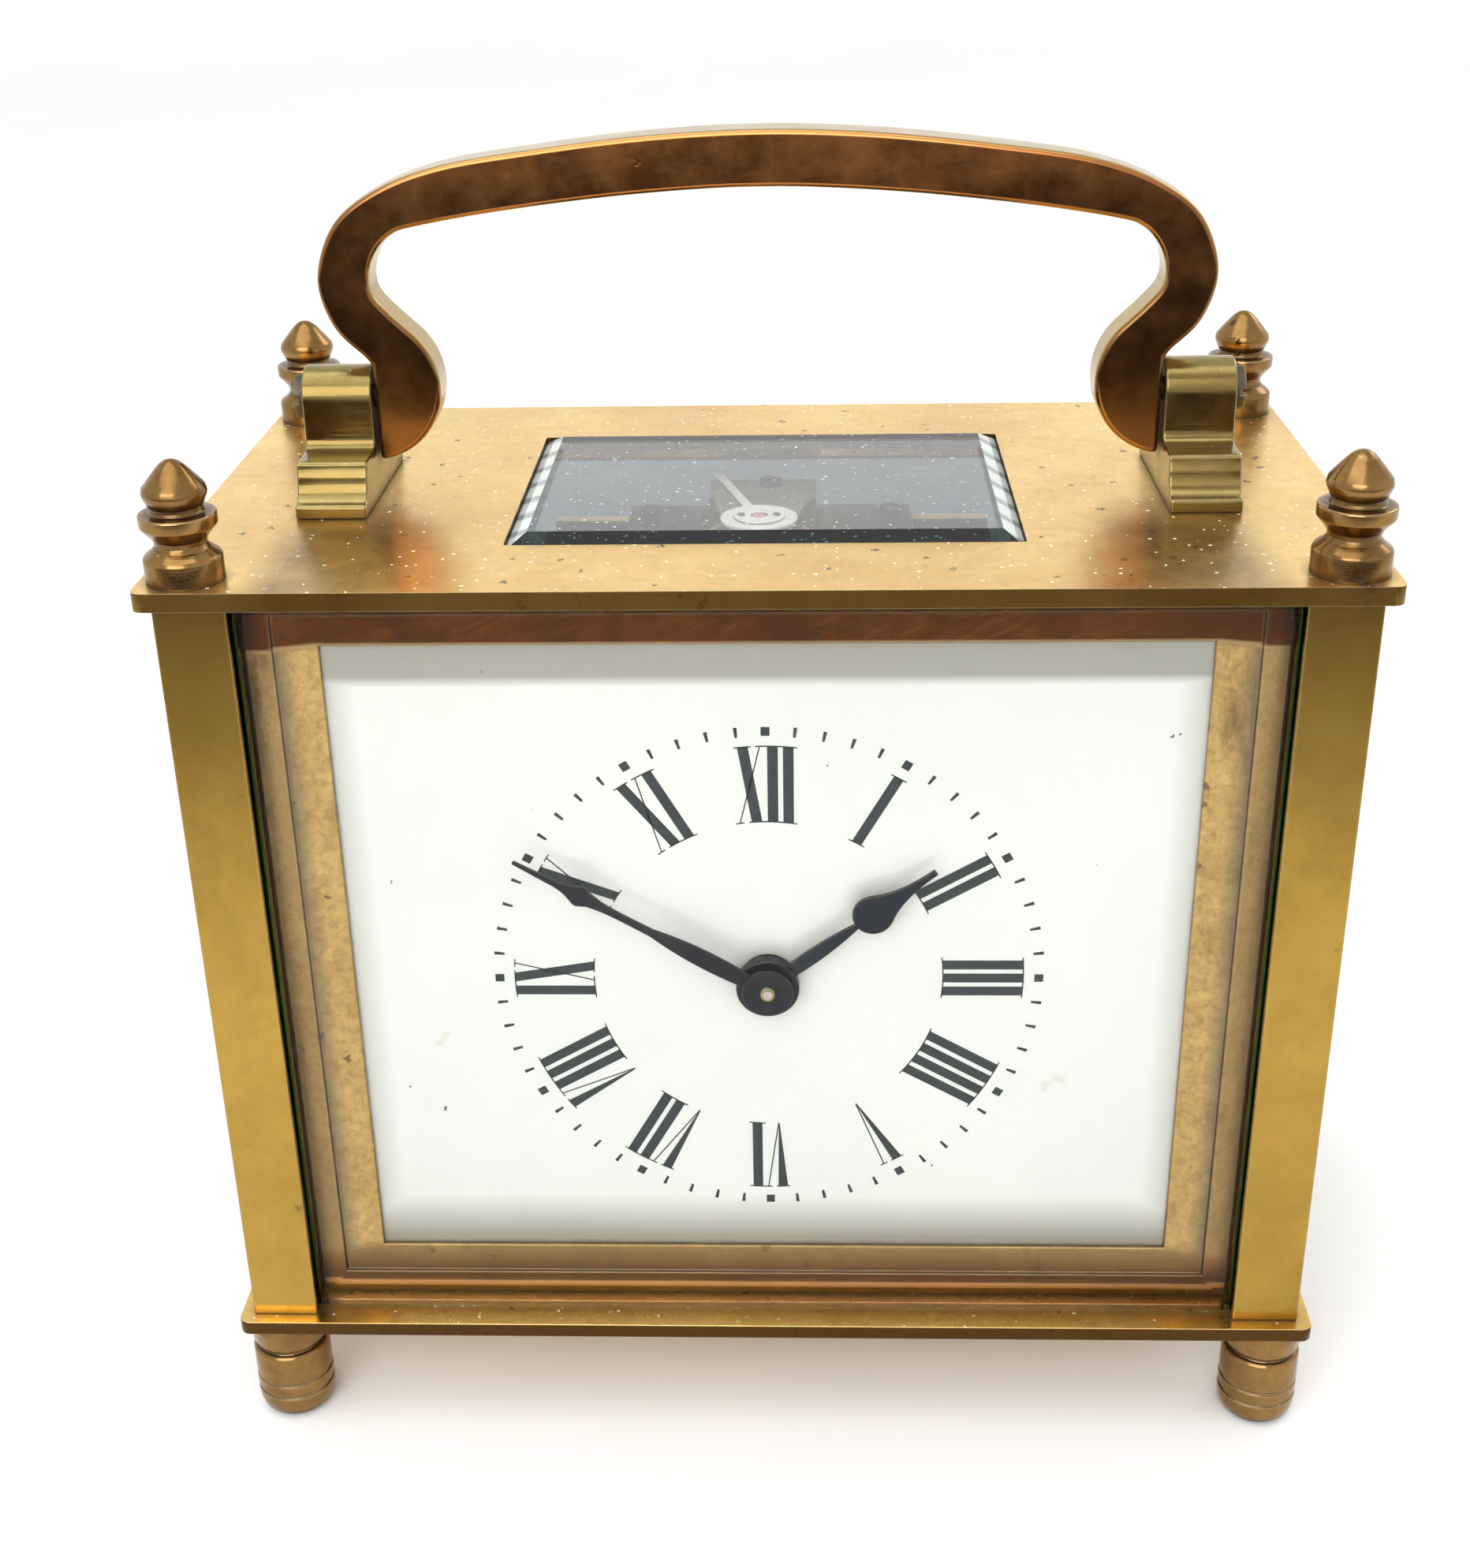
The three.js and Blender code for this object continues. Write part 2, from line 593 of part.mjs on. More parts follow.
const crownRoot = crownMid - 0.6;
const crownTip = crownMid + 0.3;
// The crown stands on the disc's edge as a plain band with one small block for each tooth.
function contrateArbor() {
  const outer = contrateRadius + crownHalf;
  const inner = contrateRadius - crownHalf;
  const pitch = (2 * Math.PI) / contrateTeeth;
  const rim = new THREE.Shape().absarc(0, 0, outer, 0, Math.PI * 2, false);
  const disc = crossings(rim, 11.4, hubRadius, armHalf);
  const bandFront = contrateDiscY[0] - 0.2;
  const band = cut(rodY(outer + 0.05, bandFront, crownRoot, 0, 0, 40), [
    rodY(inner, bandFront - 1, crownRoot + 1, 0, 0, 40),
  ]);
  const half = (crownShare * pitch * contrateRadius) / 2;
  const teeth = Array.from({ length: contrateTeeth }, (_, i) => {
    const tooth = block(-half, half, crownRoot - 0.3, crownTip, inner + 0.1, outer - 0.1);
    return tooth.rotateY(i * pitch);
  });
  const aim = bearing(contrate, third) + meshHalf(contratePinionLeaves);
  return join(arbor(steelArbor), [
    sheetY(pinionShape(contratePinionLeaves, thirdModule, aim), ...contratePinionY),
    sheetY(disc, ...contrateDiscY, 10),
    band,
    ...teeth,
  ]);
}
add('centre_wheel', centreArbor(), movementBrass(), centre.x, 0, centre.z);
add('third_wheel', thirdArbor(), movementBrass(), third.x, 0, third.z);
add('contrate_wheel', contrateArbor(), movementBrass(), contrate.x, 0, contrate.z);

// ---------------------------------------------------------------- barrel and winding work
const drumRadius = 16.2;
const drumWall = 0.9;
const drumFront = -1.4;
const drumBack = 13.2;
const barrelArborRadius = 2.4;
const ratchetTeeth = 24;
const ratchetRadius = 7;
const ratchetY = [20.6, 21.5];
const squareHalf = 1.2;           // winding square on the barrel arbor
function barrel() {
  const aim = bearing(barrelPlace, centre) + meshHalf(greatTeeth);
  const teeth = sheetY(wheelShape(greatTeeth, greatModule, aim), ...greatWheelY);
  return cut(join(teeth, [rodY(drumRadius, drumFront, drumBack, 0, 0, 32)]), [
    rodY(drumRadius - drumWall, drumFront + 1, drumBack + 1, 0, 0, 32),
    rodY(barrelArborRadius + fitGap, drumFront - 2, drumFront + 3, 0, 0, 20),
  ]);
}
function barrelCap() {
  const cap = rodY(drumRadius, drumBack, drumBack + 0.9, 0, 0, 32);
  return cut(cap, [rodY(barrelArborRadius + fitGap, drumBack - 1, drumBack + 2, 0, 0, 20)]);
}
// The wound spring lies against the drum wall as one packed coil.
function mainspring() {
  const coil = rodY(drumRadius - drumWall - fitGap, 0, drumBack - 0.4, 0, 0, 28);
  return cut(coil, [rodY(9, -1, drumBack + 1, 0, 0, 24)]);
}
function barrelArbor() {
  return join(rodY(barrelArborRadius, -5, 15.4, 0, 0, 20), [
    rodY(1.5, frontPlateY[0] + 0.3, backPlateY[1] + 0.3, 0, 0, 16),
    block(-squareHalf, squareHalf, backPlateY[1], 26.2, -squareHalf, squareHalf),
  ]);
}
function ratchetWheel() {
  const pitch = (2 * Math.PI) / ratchetTeeth;
  const root = ratchetRadius - 1;
  const points = [];
  for (let i = 0; i < ratchetTeeth; i += 1) {
    const angle = i * pitch;
    points.push(new THREE.Vector2(ratchetRadius * Math.cos(angle), ratchetRadius * Math.sin(angle)));
    points.push(new THREE.Vector2(root * Math.cos(angle + 0.02), root * Math.sin(angle + 0.02)));
  }
  const wheel = sheetY(new THREE.Shape(points), ...ratchetY);
  const hole = squareHalf + 0.05;
  return cut(wheel, [block(-hole, hole, ratchetY[0] - 1, ratchetY[1] + 1, -hole, hole)]);
}
const clickStud = 0.5;
const clickPlace = { x: barrelPlace.x - 11.5, z: barrelPlace.z + 3.2 };
function click() {
  // the nose drops into a tooth space on the wheel's left side
  const shape = new THREE.Shape();
  shape.moveTo(-1.4, 1.0);
  shape.lineTo(1.6, 1.6);
  shape.lineTo(4.75, -0.55);
  shape.lineTo(4.6, -1.5);
  shape.lineTo(0.6, -1.5);
  shape.lineTo(-1.4, -0.8);
  shape.closePath();
  return cut(sheetY(shape, ...ratchetY), [
    rodY(clickStud + fitGap, ratchetY[0] - 1, ratchetY[1] + 1, 0, 0, 12),
  ]);
}
function clickSpring() {
  const bend = new THREE.Shape();
  bend.absarc(0, 0, 10.2, Math.PI * 0.62, Math.PI * 0.9, false);
  bend.absarc(0, 0, 9.7, Math.PI * 0.9, Math.PI * 0.62, true);
  bend.closePath();
  return sheetY(bend, ...ratchetY, 12);
}
add('barrel', barrel(), movementBrass(), barrelPlace.x, 0, barrelPlace.z);
add('barrel_cap', barrelCap(), movementBrass(), barrelPlace.x, 0, barrelPlace.z);
add('mainspring', mainspring(), bluedSteel(), barrelPlace.x, 0, barrelPlace.z);
add('barrel_arbor', barrelArbor(), brightSteel(), barrelPlace.x, 0, barrelPlace.z);
add('ratchet_wheel', ratchetWheel(), brightSteel(), barrelPlace.x, 0, barrelPlace.z);
add('click', click(), brightSteel(), clickPlace.x, 0, clickPlace.z);
add('click_spring', clickSpring(), bluedSteel(), barrelPlace.x - 1.5, 0, barrelPlace.z + 3);

// ---------------------------------------------------------------- movement frame
function pivotHoles(y0, y1, centreHole) {
  return [
    rodY(centreHole, y0, y1, centre.x, centre.z, 16),
    rodY(pivotHole, y0, y1, third.x, third.z, 12),
    rodY(pivotHole, y0, y1, contrate.x, contrate.z, 12),
    rodY(1.8, y0, y1, barrelPlace.x, barrelPlace.z, 16),
  ];
}
function frontPlate() {
  const [y0, y1] = frontPlateY;
  const plate = block(-movementHalfX, movementHalfX, y0, y1, baseTop, movementTop);
  const stud = rodY(0.55, dialFront + dialThick + 0.2, y0 + 0.5, minutePlace.x, minutePlace.z, 12);
  return join(cut(plate, pivotHoles(y0 - 1, y1 + 1, 1.2)), [stud]);
}
function backPlate() {
  const [y0, y1] = backPlateY;
  const plate = block(-movementHalfX, movementHalfX, y0, y1, baseTop, movementTop);
  const stud = rodY(clickStud, y1 - 0.5, ratchetY[1] + 0.4, clickPlace.x, clickPlace.z, 12);
  return join(cut(plate, pivotHoles(y0 - 1, y1 + 1, 1.2)), [stud]);
}
add('front_movement_plate', frontPlate(), movementBrass());
add('back_movement_plate', backPlate(), movementBrass());
const pillarPlaces = [
  ['lower_left', -22, baseTop + 4],
  ['lower_right', 22, baseTop + 4],
  ['upper_left', -22, movementTop - 5],
  ['upper_right', 22, movementTop - 5],
];
const pillarSpan = backPlateY[0] - frontPlateY[1];
const pillarCollar = [[2.4, 0], [2.4, 2.2], [1.7, 3]];
const pillarProfile = [
  [0, 0],
  ...pillarCollar,
  ...pillarCollar.map(([r, y]) => [r, pillarSpan - y]).reverse(),
  [0, pillarSpan],
];
for (const [place, x, z] of pillarPlaces) {
  const spun = turned(pillarProfile, 20).rotateX(-Math.PI / 2).translate(0, frontPlateY[1], 0);
  add(`movement_pillar_${place}`, spun, movementBrass(), x, 0, z);
}

// ---------------------------------------------------------------- motion work and hands
function minuteWheel() {
  const toCannon = bearing(minutePlace, centre);
  const wheel = wheelShape(minuteWheelTeeth, motionModule, toCannon + meshHalf(minuteWheelTeeth));
  const pinion = pinionShape(minutePinionLeaves, hourModule, toCannon);
  const body = join(sheetY(wheel, ...minuteWheelY), [sheetY(pinion, ...minutePinionY)]);
  return cut(body, [rodY(0.7, minutePinionY[0] - 1, minuteWheelY[1] + 1, 0, 0, 12)]);
}
function hourWheel() {
  const aim = bearing(centre, minutePlace) + meshHalf(hourWheelTeeth);
  const wheel = wheelShape(hourWheelTeeth, hourModule, aim);
  const body = join(sheetY(wheel, ...hourWheelY), [rodY(2.0, ...hourPipeY, 0, 0, 20)]);
  return cut(body, [rodY(1.2, hourPipeY[0] - 1, hourWheelY[1] + 1, 0, 0, 18)]);
}
const hourAngle = THREE.MathUtils.degToRad(52);
const minuteAngle = THREE.MathUtils.degToRad(-59.4);
const hourLength = 22.2;
const minuteLength = 30.3;
const hourBoss = 3.35;
const minuteBoss = 2.75;
const hourBladeY = [-26.6, -26.2];
const hourBossY = [-27.0, -25.7];
const minuteBladeY = [-27.6, -27.3];
const minuteBossY = [-27.9, -27.15];
// Hands are drawn pointing up, then turned to the time.
function handSheet(shape, y0, y1, angle) {
  return sheetY(shape, y0, y1, 8).rotateY(angle);
}
function hourHand() {
  const spade = new THREE.Shape();
  const spadeRise = 14.0;
  const spadeRadius = 2.15;
  spade.moveTo(-0.45, 0);
  spade.quadraticCurveTo(-1.25, 6, -0.3, spadeRise - spadeRadius);
  spade.absarc(0, spadeRise, spadeRadius, -1.7, Math.PI - 0.5, true);
  spade.quadraticCurveTo(-0.35, 17.3, -0.3, hourLength);
  spade.lineTo(0.3, hourLength);
  spade.quadraticCurveTo(0.35, 17.3, spadeRadius * Math.cos(0.5), spadeRise + spadeRadius * Math.sin(0.5));
  spade.absarc(0, spadeRise, spadeRadius, 0.5, -1.44, true);
  spade.quadraticCurveTo(1.25, 6, 0.45, 0);
  spade.closePath();
  const blade = handSheet(spade, ...hourBladeY, hourAngle);
  return cut(join(blade, [rodY(hourBoss, ...hourBossY, 0, 0, 28)]), [
    rodY(2.05, hourPipeY[0] - 0.05, hourBossY[1] + 1, 0, 0, 20),
    rodY(1.2, hourBossY[0] - 1, hourBossY[1] + 1, 0, 0, 18),
  ]);
}
function minuteHand() {
  const leaf = new THREE.Shape();
  leaf.moveTo(-0.5, 0);
  leaf.quadraticCurveTo(-1.55, 7, -0.45, 14);
  leaf.lineTo(-0.35, 20.4);
  leaf.lineTo(-1.3, 22.6);
  leaf.lineTo(-0.4, 24.8);
  leaf.lineTo(-0.18, minuteLength);
  leaf.lineTo(0.18, minuteLength);
  leaf.lineTo(0.4, 24.8);
  leaf.lineTo(1.3, 22.6);
  leaf.lineTo(0.35, 20.4);
  leaf.lineTo(0.45, 14);
  leaf.quadraticCurveTo(1.55, 7, 0.5, 0);
  leaf.closePath();
  const blade = handSheet(leaf, ...minuteBladeY, minuteAngle);
  return cut(join(blade, [rodY(minuteBoss, ...minuteBossY, 0, 0, 28)]), [
    rodY(0.95, -27.2, minuteBossY[1] + 1, 0, 0, 14),
    rodY(0.75, minuteBossY[0] - 1, minuteBossY[1] + 1, 0, 0, 14),
  ]);
}
add('minute_wheel', minuteWheel(), movementBrass(), minutePlace.x, 0, minutePlace.z);
add('hour_wheel', hourWheel(), movementBrass(), centre.x, 0, centre.z);
add('hour_hand', hourHand(), blackenedSteel(), centre.x, 0, centre.z);
add('minute_hand', minuteHand(), blackenedSteel(), centre.x, 0, centre.z);

// ---------------------------------------------------------------- platform escapement
const platformTop = movementTop + 1.3;
const balancePlace = { x: contrate.x, y: 2.4 };
const cockLow = platformTop + 3.3;
const cockHigh = cockLow + 0.6;
const escapeLevel = platformTop + 0.9;
function placedSheet(shape, z0, z1, x, y, curveSegments = 8) {
  return sheetZ(shape, z0, z1, curveSegments).translate(x, y, 0);
}
function platform() {
  const plate = block(-16.5, 16.5, frontPlateY[0], backPlateY[1], movementTop, platformTop);
  return cut(plate, [rodZ(2.3, movementTop - 1, platformTop + 1, contrate.x, escapeY, 20)]);
}
function escapeWheel() {
  const count = 15;
  const tipRadius = 2.7;
  const points = [];
  for (let i = 0; i < count; i += 1) {
    const a = (i * 2 * Math.PI) / count;
    points.push(new THREE.Vector2(tipRadius * Math.cos(a), tipRadius * Math.sin(a)));
    points.push(new THREE.Vector2(1.95 * Math.cos(a + 0.1), 1.95 * Math.sin(a + 0.1)));
  }
  const aim = -Math.PI / 2 + meshHalf(escapePinionLeaves);
  const top = contrate.z + contrateRadius;
  const pinion = sheetZ(pinionShape(escapePinionLeaves, escapeModule, aim), top - 1.2, top + 1.2);
  const body = join(rodZ(0.35, top - 1.6, platformTop + 1.6, 0, 0, 10), [
    pinion, sheetZ(new THREE.Shape(points), escapeLevel, escapeLevel + 0.4),
  ]);
  return body.translate(contrate.x, escapeY, 0);
}
function escapeCock() {
  const x = contrate.x;
  const bar = block(x - 1.1, x + 1.1, -10.6, escapeY + 0.9, platformTop + 1.8, platformTop + 2.4);
  return join(bar, [block(x - 1.1, x + 1.1, -10.6, -8.6, platformTop, platformTop + 2)]);
}
const leverPivotY = -1.4;
function palletLever() {
  const shape = new THREE.Shape();
  shape.moveTo(-2.2, -1.5);
  shape.lineTo(-1.8, -1.4);
  shape.lineTo(-1.5, -0.35);
  shape.lineTo(1.5, -0.35);
  shape.lineTo(1.8, -1.4);
  shape.lineTo(2.2, -1.5);
  shape.lineTo(2.0, 0.3);
  shape.lineTo(0.35, 0.45);
  shape.lineTo(0.3, 2.4);
  shape.lineTo(-0.3, 2.4);
  shape.lineTo(-0.35, 0.45);
  shape.lineTo(-2.0, 0.3);
  shape.closePath();
  const body = join(sheetZ(shape, escapeLevel, escapeLevel + 0.4), [
    rodZ(0.25, platformTop + 0.1, escapeLevel + 0.7, 0, 0, 8),
  ]);
  return body.translate(contrate.x, leverPivotY, 0);
}
function balanceWheel() {
  const ring = new THREE.Shape().absarc(0, 0, 5.7, 0, Math.PI * 2, false);
  for (const turn of [0, Math.PI]) {
    const gap = new THREE.Path();
    gap.absarc(0, 0, 5.0, turn + 0.12, turn + Math.PI - 0.12, false);
    gap.absarc(0, 0, 1.0, turn + Math.PI - 0.5, turn + 0.5, true);
    gap.closePath();
    ring.holes.push(gap);
  }
  const low = platformTop + 1.9;
  return join(sheetZ(ring, low, low + 0.6, 9), [
    rodZ(0.3, platformTop + 0.1, cockLow - 0.1, 0, 0, 10),
    rodZ(0.8, low - 0.35, low + 0.1, 0, 0, 14),
  ]);
}
function hairspring() {
  const turns = 3.25;
  const steps = 48;
  const point = (i, side) => {
    const angle = (i / steps) * turns * 2 * Math.PI;
    const r = 0.8 + (i / steps) * 2.4 + side * 0.07;
    return new THREE.Vector2(r * Math.cos(angle), r * Math.sin(angle));
  };
  const points = [];
  for (let i = 0; i <= steps; i += 1) points.push(point(i, 1));
  for (let i = steps; i >= 0; i -= 1) points.push(point(i, -1));
  return sheetZ(new THREE.Shape(points), platformTop + 2.75, platformTop + 3.0);
}
function balanceCock() {
  const arm = new THREE.Shape();
  arm.moveTo(-5.9, 15);
  arm.lineTo(-5.9, 12.2);
  arm.lineTo(-3.9, 0);
  arm.absarc(0, 0, 3.9, Math.PI, Math.PI * 2, false);
  arm.lineTo(6.3, 12.2);
  arm.lineTo(6.3, 15);
  arm.closePath();
  const body = join(sheetZ(arm, cockLow, cockHigh, 10), [
    block(-5.9, 6.3, 9.6, 15, platformTop, cockLow + 0.2),
  ]);
  return cut(body, [rodZ(0.6, cockLow - 1, cockHigh + 1, 0, 0, 14)]);
}
function regulator() {
  const ring = new THREE.Shape().absarc(0, 0, 4.25, 0, Math.PI * 2, false);
  const disc = sheetZ(ring, cockHigh + 0.05, cockHigh + 0.4, 12);
  const arm = new THREE.Shape([[-0.55, 3.5], [0.55, 3.5], [0.45, 17.8], [0, 18.6], [-0.45, 17.8]]
    .map(([x, y]) => new THREE.Vector2(x, y)));
  const tilt = Math.atan2(5.4, 17.7);
  const pointer = sheetZ(arm, cockHigh + 0.05, cockHigh + 0.3).rotateZ(tilt);
  return cut(join(disc, [pointer]), [rodZ(1.2, cockHigh - 1, cockHigh + 1, 0, 0, 18)]);
}
function endStone() {
  return turned([[0, 0], [0.9, 0], [0.9, 0.45], [0.6, 0.7], [0, 0.75]], 18).translate(0, 0, cockHigh);
}
add('platform', platform(), darkBrass());
add('escape_wheel', escapeWheel(), brightSteel());
add('escape_cock', escapeCock(), movementBrass());
add('pallet_lever', palletLever(), brightSteel());
add('balance_wheel', balanceWheel(), movementBrass(), balancePlace.x, balancePlace.y, 0);
add('hairspring', hairspring(), bluedSteel(), balancePlace.x, balancePlace.y, 0);
add('balance_cock', balanceCock(), movementBrass(), balancePlace.x, balancePlace.y, 0);
add('regulator', regulator(), brightSteel(), balancePlace.x, balancePlace.y, 0);
add('end_stone', endStone(), jewel(), balancePlace.x, balancePlace.y, 0);

export default clock;
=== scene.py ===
# %% [markdown]
# # A wide brass carriage clock
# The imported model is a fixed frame: every node already has its place and its real size. This
# lesson dresses it. Turned, moulded and cut pieces are rebuilt finer than the frame's own
# solids, and every surface gets a finish made from shader nodes.

import bpy
import bmesh
import json
import math
from mathutils import Matrix, Vector

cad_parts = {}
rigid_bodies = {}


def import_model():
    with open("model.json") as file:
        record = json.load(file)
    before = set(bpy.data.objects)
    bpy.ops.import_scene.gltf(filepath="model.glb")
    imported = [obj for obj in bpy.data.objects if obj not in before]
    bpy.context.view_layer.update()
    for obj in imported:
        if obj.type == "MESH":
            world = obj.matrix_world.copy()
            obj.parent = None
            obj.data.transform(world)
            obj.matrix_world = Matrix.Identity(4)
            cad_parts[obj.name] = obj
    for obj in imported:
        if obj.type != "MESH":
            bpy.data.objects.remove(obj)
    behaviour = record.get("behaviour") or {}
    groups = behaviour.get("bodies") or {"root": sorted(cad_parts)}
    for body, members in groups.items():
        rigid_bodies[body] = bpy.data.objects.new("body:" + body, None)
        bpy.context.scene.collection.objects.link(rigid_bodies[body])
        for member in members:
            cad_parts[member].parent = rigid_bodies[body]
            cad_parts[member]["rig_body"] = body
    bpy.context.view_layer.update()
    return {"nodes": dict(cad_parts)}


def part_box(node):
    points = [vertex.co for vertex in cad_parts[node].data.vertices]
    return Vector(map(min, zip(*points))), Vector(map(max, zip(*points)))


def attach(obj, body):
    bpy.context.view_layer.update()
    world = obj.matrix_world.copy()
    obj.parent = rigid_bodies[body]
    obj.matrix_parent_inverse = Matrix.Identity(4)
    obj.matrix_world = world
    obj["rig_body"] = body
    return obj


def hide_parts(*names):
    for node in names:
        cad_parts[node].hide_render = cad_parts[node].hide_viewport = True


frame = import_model()
nodes = frame["nodes"]
MM = 0.001

# %% [markdown]
# ## Camera
# The camera looks down at the dial from close by, so the top plate opens out and the sides
# fall away. It is aimed with three turns: yaw about the vertical, pitch down, a slight roll.

# %% Camera
CAMERA_PLACE = Vector((4.45, -214.43, 167.42)) * MM
YAW, PITCH, ROLL = math.radians(-2.29), math.radians(25.40), math.radians(1.13)


def aimed(yaw, pitch, roll):
    forward = Vector((math.sin(yaw) * math.cos(pitch), math.cos(yaw) * math.cos(pitch), -math.sin(pitch)))
    level = Vector((math.cos(yaw), -math.sin(yaw), 0))
    down = forward.cross(level)
    right = level * math.cos(roll) + down * math.sin(roll)
    below = down * math.cos(roll) - level * math.sin(roll)
    return Matrix((right, -below, -forward)).transposed()


camera_data = bpy.data.cameras.new("studio_camera")
camera_data.lens = 47.25
camera_data.sensor_width = 36
camera_data.clip_start = 0.005
camera = bpy.data.objects.new("studio_camera", camera_data)
camera.matrix_world = Matrix.Translation(CAMERA_PLACE) @ aimed(YAW, PITCH, ROLL).to_4x4()
bpy.context.scene.collection.objects.link(camera)
bpy.context.scene.camera = camera
print("camera at", tuple(round(v, 4) for v in CAMERA_PLACE))

# %% [markdown]
# ## Shader node helpers
# Every finish is a small tree of nodes. One helper adds a node and wires its inputs, others
# give the noises, masks and mixes that keep coming back. Colours are written as the 0-255
# values a painter reads off a swatch and turned into linear light.

# %% Node helpers
def tone(red, green, blue):
    def linear(value):
        value /= 255
        return value / 12.92 if value <= 0.04045 else ((value + 0.055) / 1.055) ** 2.4
    return (linear(red), linear(green), linear(blue), 1)


def put(tree, kind, wires=None, **settings):
    """Adds a node. wires gives its inputs, by name or number, as a value or another node's output."""
    made = tree.nodes.new("ShaderNode" + kind)
    for name, value in settings.items():
        setattr(made, name, value)
    for name, value in (wires or {}).items():
        socket = made.inputs[name]
        if isinstance(value, bpy.types.NodeSocket):
            tree.links.new(value, socket)
        else:
            socket.default_value = value
    return made


def spot_place(tree, stretch=(1, 1, 1), turn=0.0):
    here = put(tree, "TexCoord").outputs["Object"]
    turned = put(tree, "Mapping", {"Vector": here, "Rotation": (0, turn, 0)}).outputs[0] if turn else here
    return put(tree, "Mapping", {"Vector": turned, "Scale": stretch}).outputs[0]


def cloud(tree, scale, detail=4, rough=0.55, stretch=(1, 1, 1), turn=0.0):
    wires = {"Vector": spot_place(tree, stretch, turn), "Scale": scale, "Detail": detail, "Roughness": rough}
    return put(tree, "TexNoise", wires).outputs["Fac"]


def band(tree, value, low, high, bottom=0.0, top=1.0):
    wires = {"Value": value, "From Min": low, "From Max": high, "To Min": bottom, "To Max": top}
    return put(tree, "MapRange", wires).outputs[0]


def blendc(tree, share, first, second):
    """Blends two colours. A Mix node keeps its colour sockets at 6 and 7 and gives colour at 2."""
    return put(tree, "Mix", {0: share, 6: first, 7: second}, data_type="RGBA").outputs[2]


def sums(tree, kind, first, second):
    return put(tree, "Math", {0: first, 1: second}, operation=kind).outputs[0]


def times(tree, first, second):
    return sums(tree, "MULTIPLY", first, second)


def rest_of(tree, share):
    return sums(tree, "SUBTRACT", 1.0, share)


def facing(tree, axis, low, high):
    normal = put(tree, "TexCoord").outputs["Normal"]
    part = put(tree, "SeparateXYZ", {"Vector": normal}).outputs[axis]
    return band(tree, part, low, high)


def height(tree, axis="Z"):
    return put(tree, "SeparateXYZ", {"Vector": spot_place(tree)}).outputs[axis]


def from_middle(tree):
    return put(tree, "Math", {0: height(tree, "X")}, operation="ABSOLUTE").outputs[0]


# the rubbed corners, which also carry a painted edge highlight
def worn_and_lit_corners(tree, radius):
    flat = put(tree, "NewGeometry").outputs["Normal"]
    soft = put(tree, "Bevel", {"Radius": radius}, samples=2).outputs[0]
    along = put(tree, "VectorMath", {0: flat, 1: soft}, operation="DOT_PRODUCT").outputs["Value"]
    return band(tree, rest_of(tree, along), 0.02, 0.25)


def hollows(tree, reach, low=0.55, high=0.95):
    shade = put(tree, "AmbientOcclusion", {"Distance": reach}, samples=2).outputs["AO"]
    return band(tree, shade, low, high, 1.0, 0.0)


def specks(tree, scale, size, rarity):
    wires = {"Vector": spot_place(tree), "Scale": scale * 4, "Detail": 1}
    wander = put(tree, "TexNoise", wires).outputs["Color"]
    place = put(tree, "VectorMath", {0: wander, "Scale": 0.5 / scale}, operation="SCALE").outputs[0]
    place = put(tree, "VectorMath", {0: place, 1: spot_place(tree)}, operation="ADD").outputs[0]
    found = put(tree, "TexVoronoi", {"Vector": place, "Scale": scale}, feature="F1")
    near = band(tree, found.outputs["Distance"], size, size * 1.6, 1.0, 0.0)
    chance = put(tree, "SeparateColor", {"Color": found.outputs["Color"]}).outputs[0]
    return times(tree, near, sums(tree, "GREATER_THAN", chance, rarity))


def fresh(name):
    material = bpy.data.materials.new(name)
    material.use_nodes = True
    tree = material.node_tree
    return material, tree, tree.nodes["Principled BSDF"]


def join_to(tree, value, shader, socket):
    tree.links.new(value, shader.inputs[socket])


print("node helpers ready")
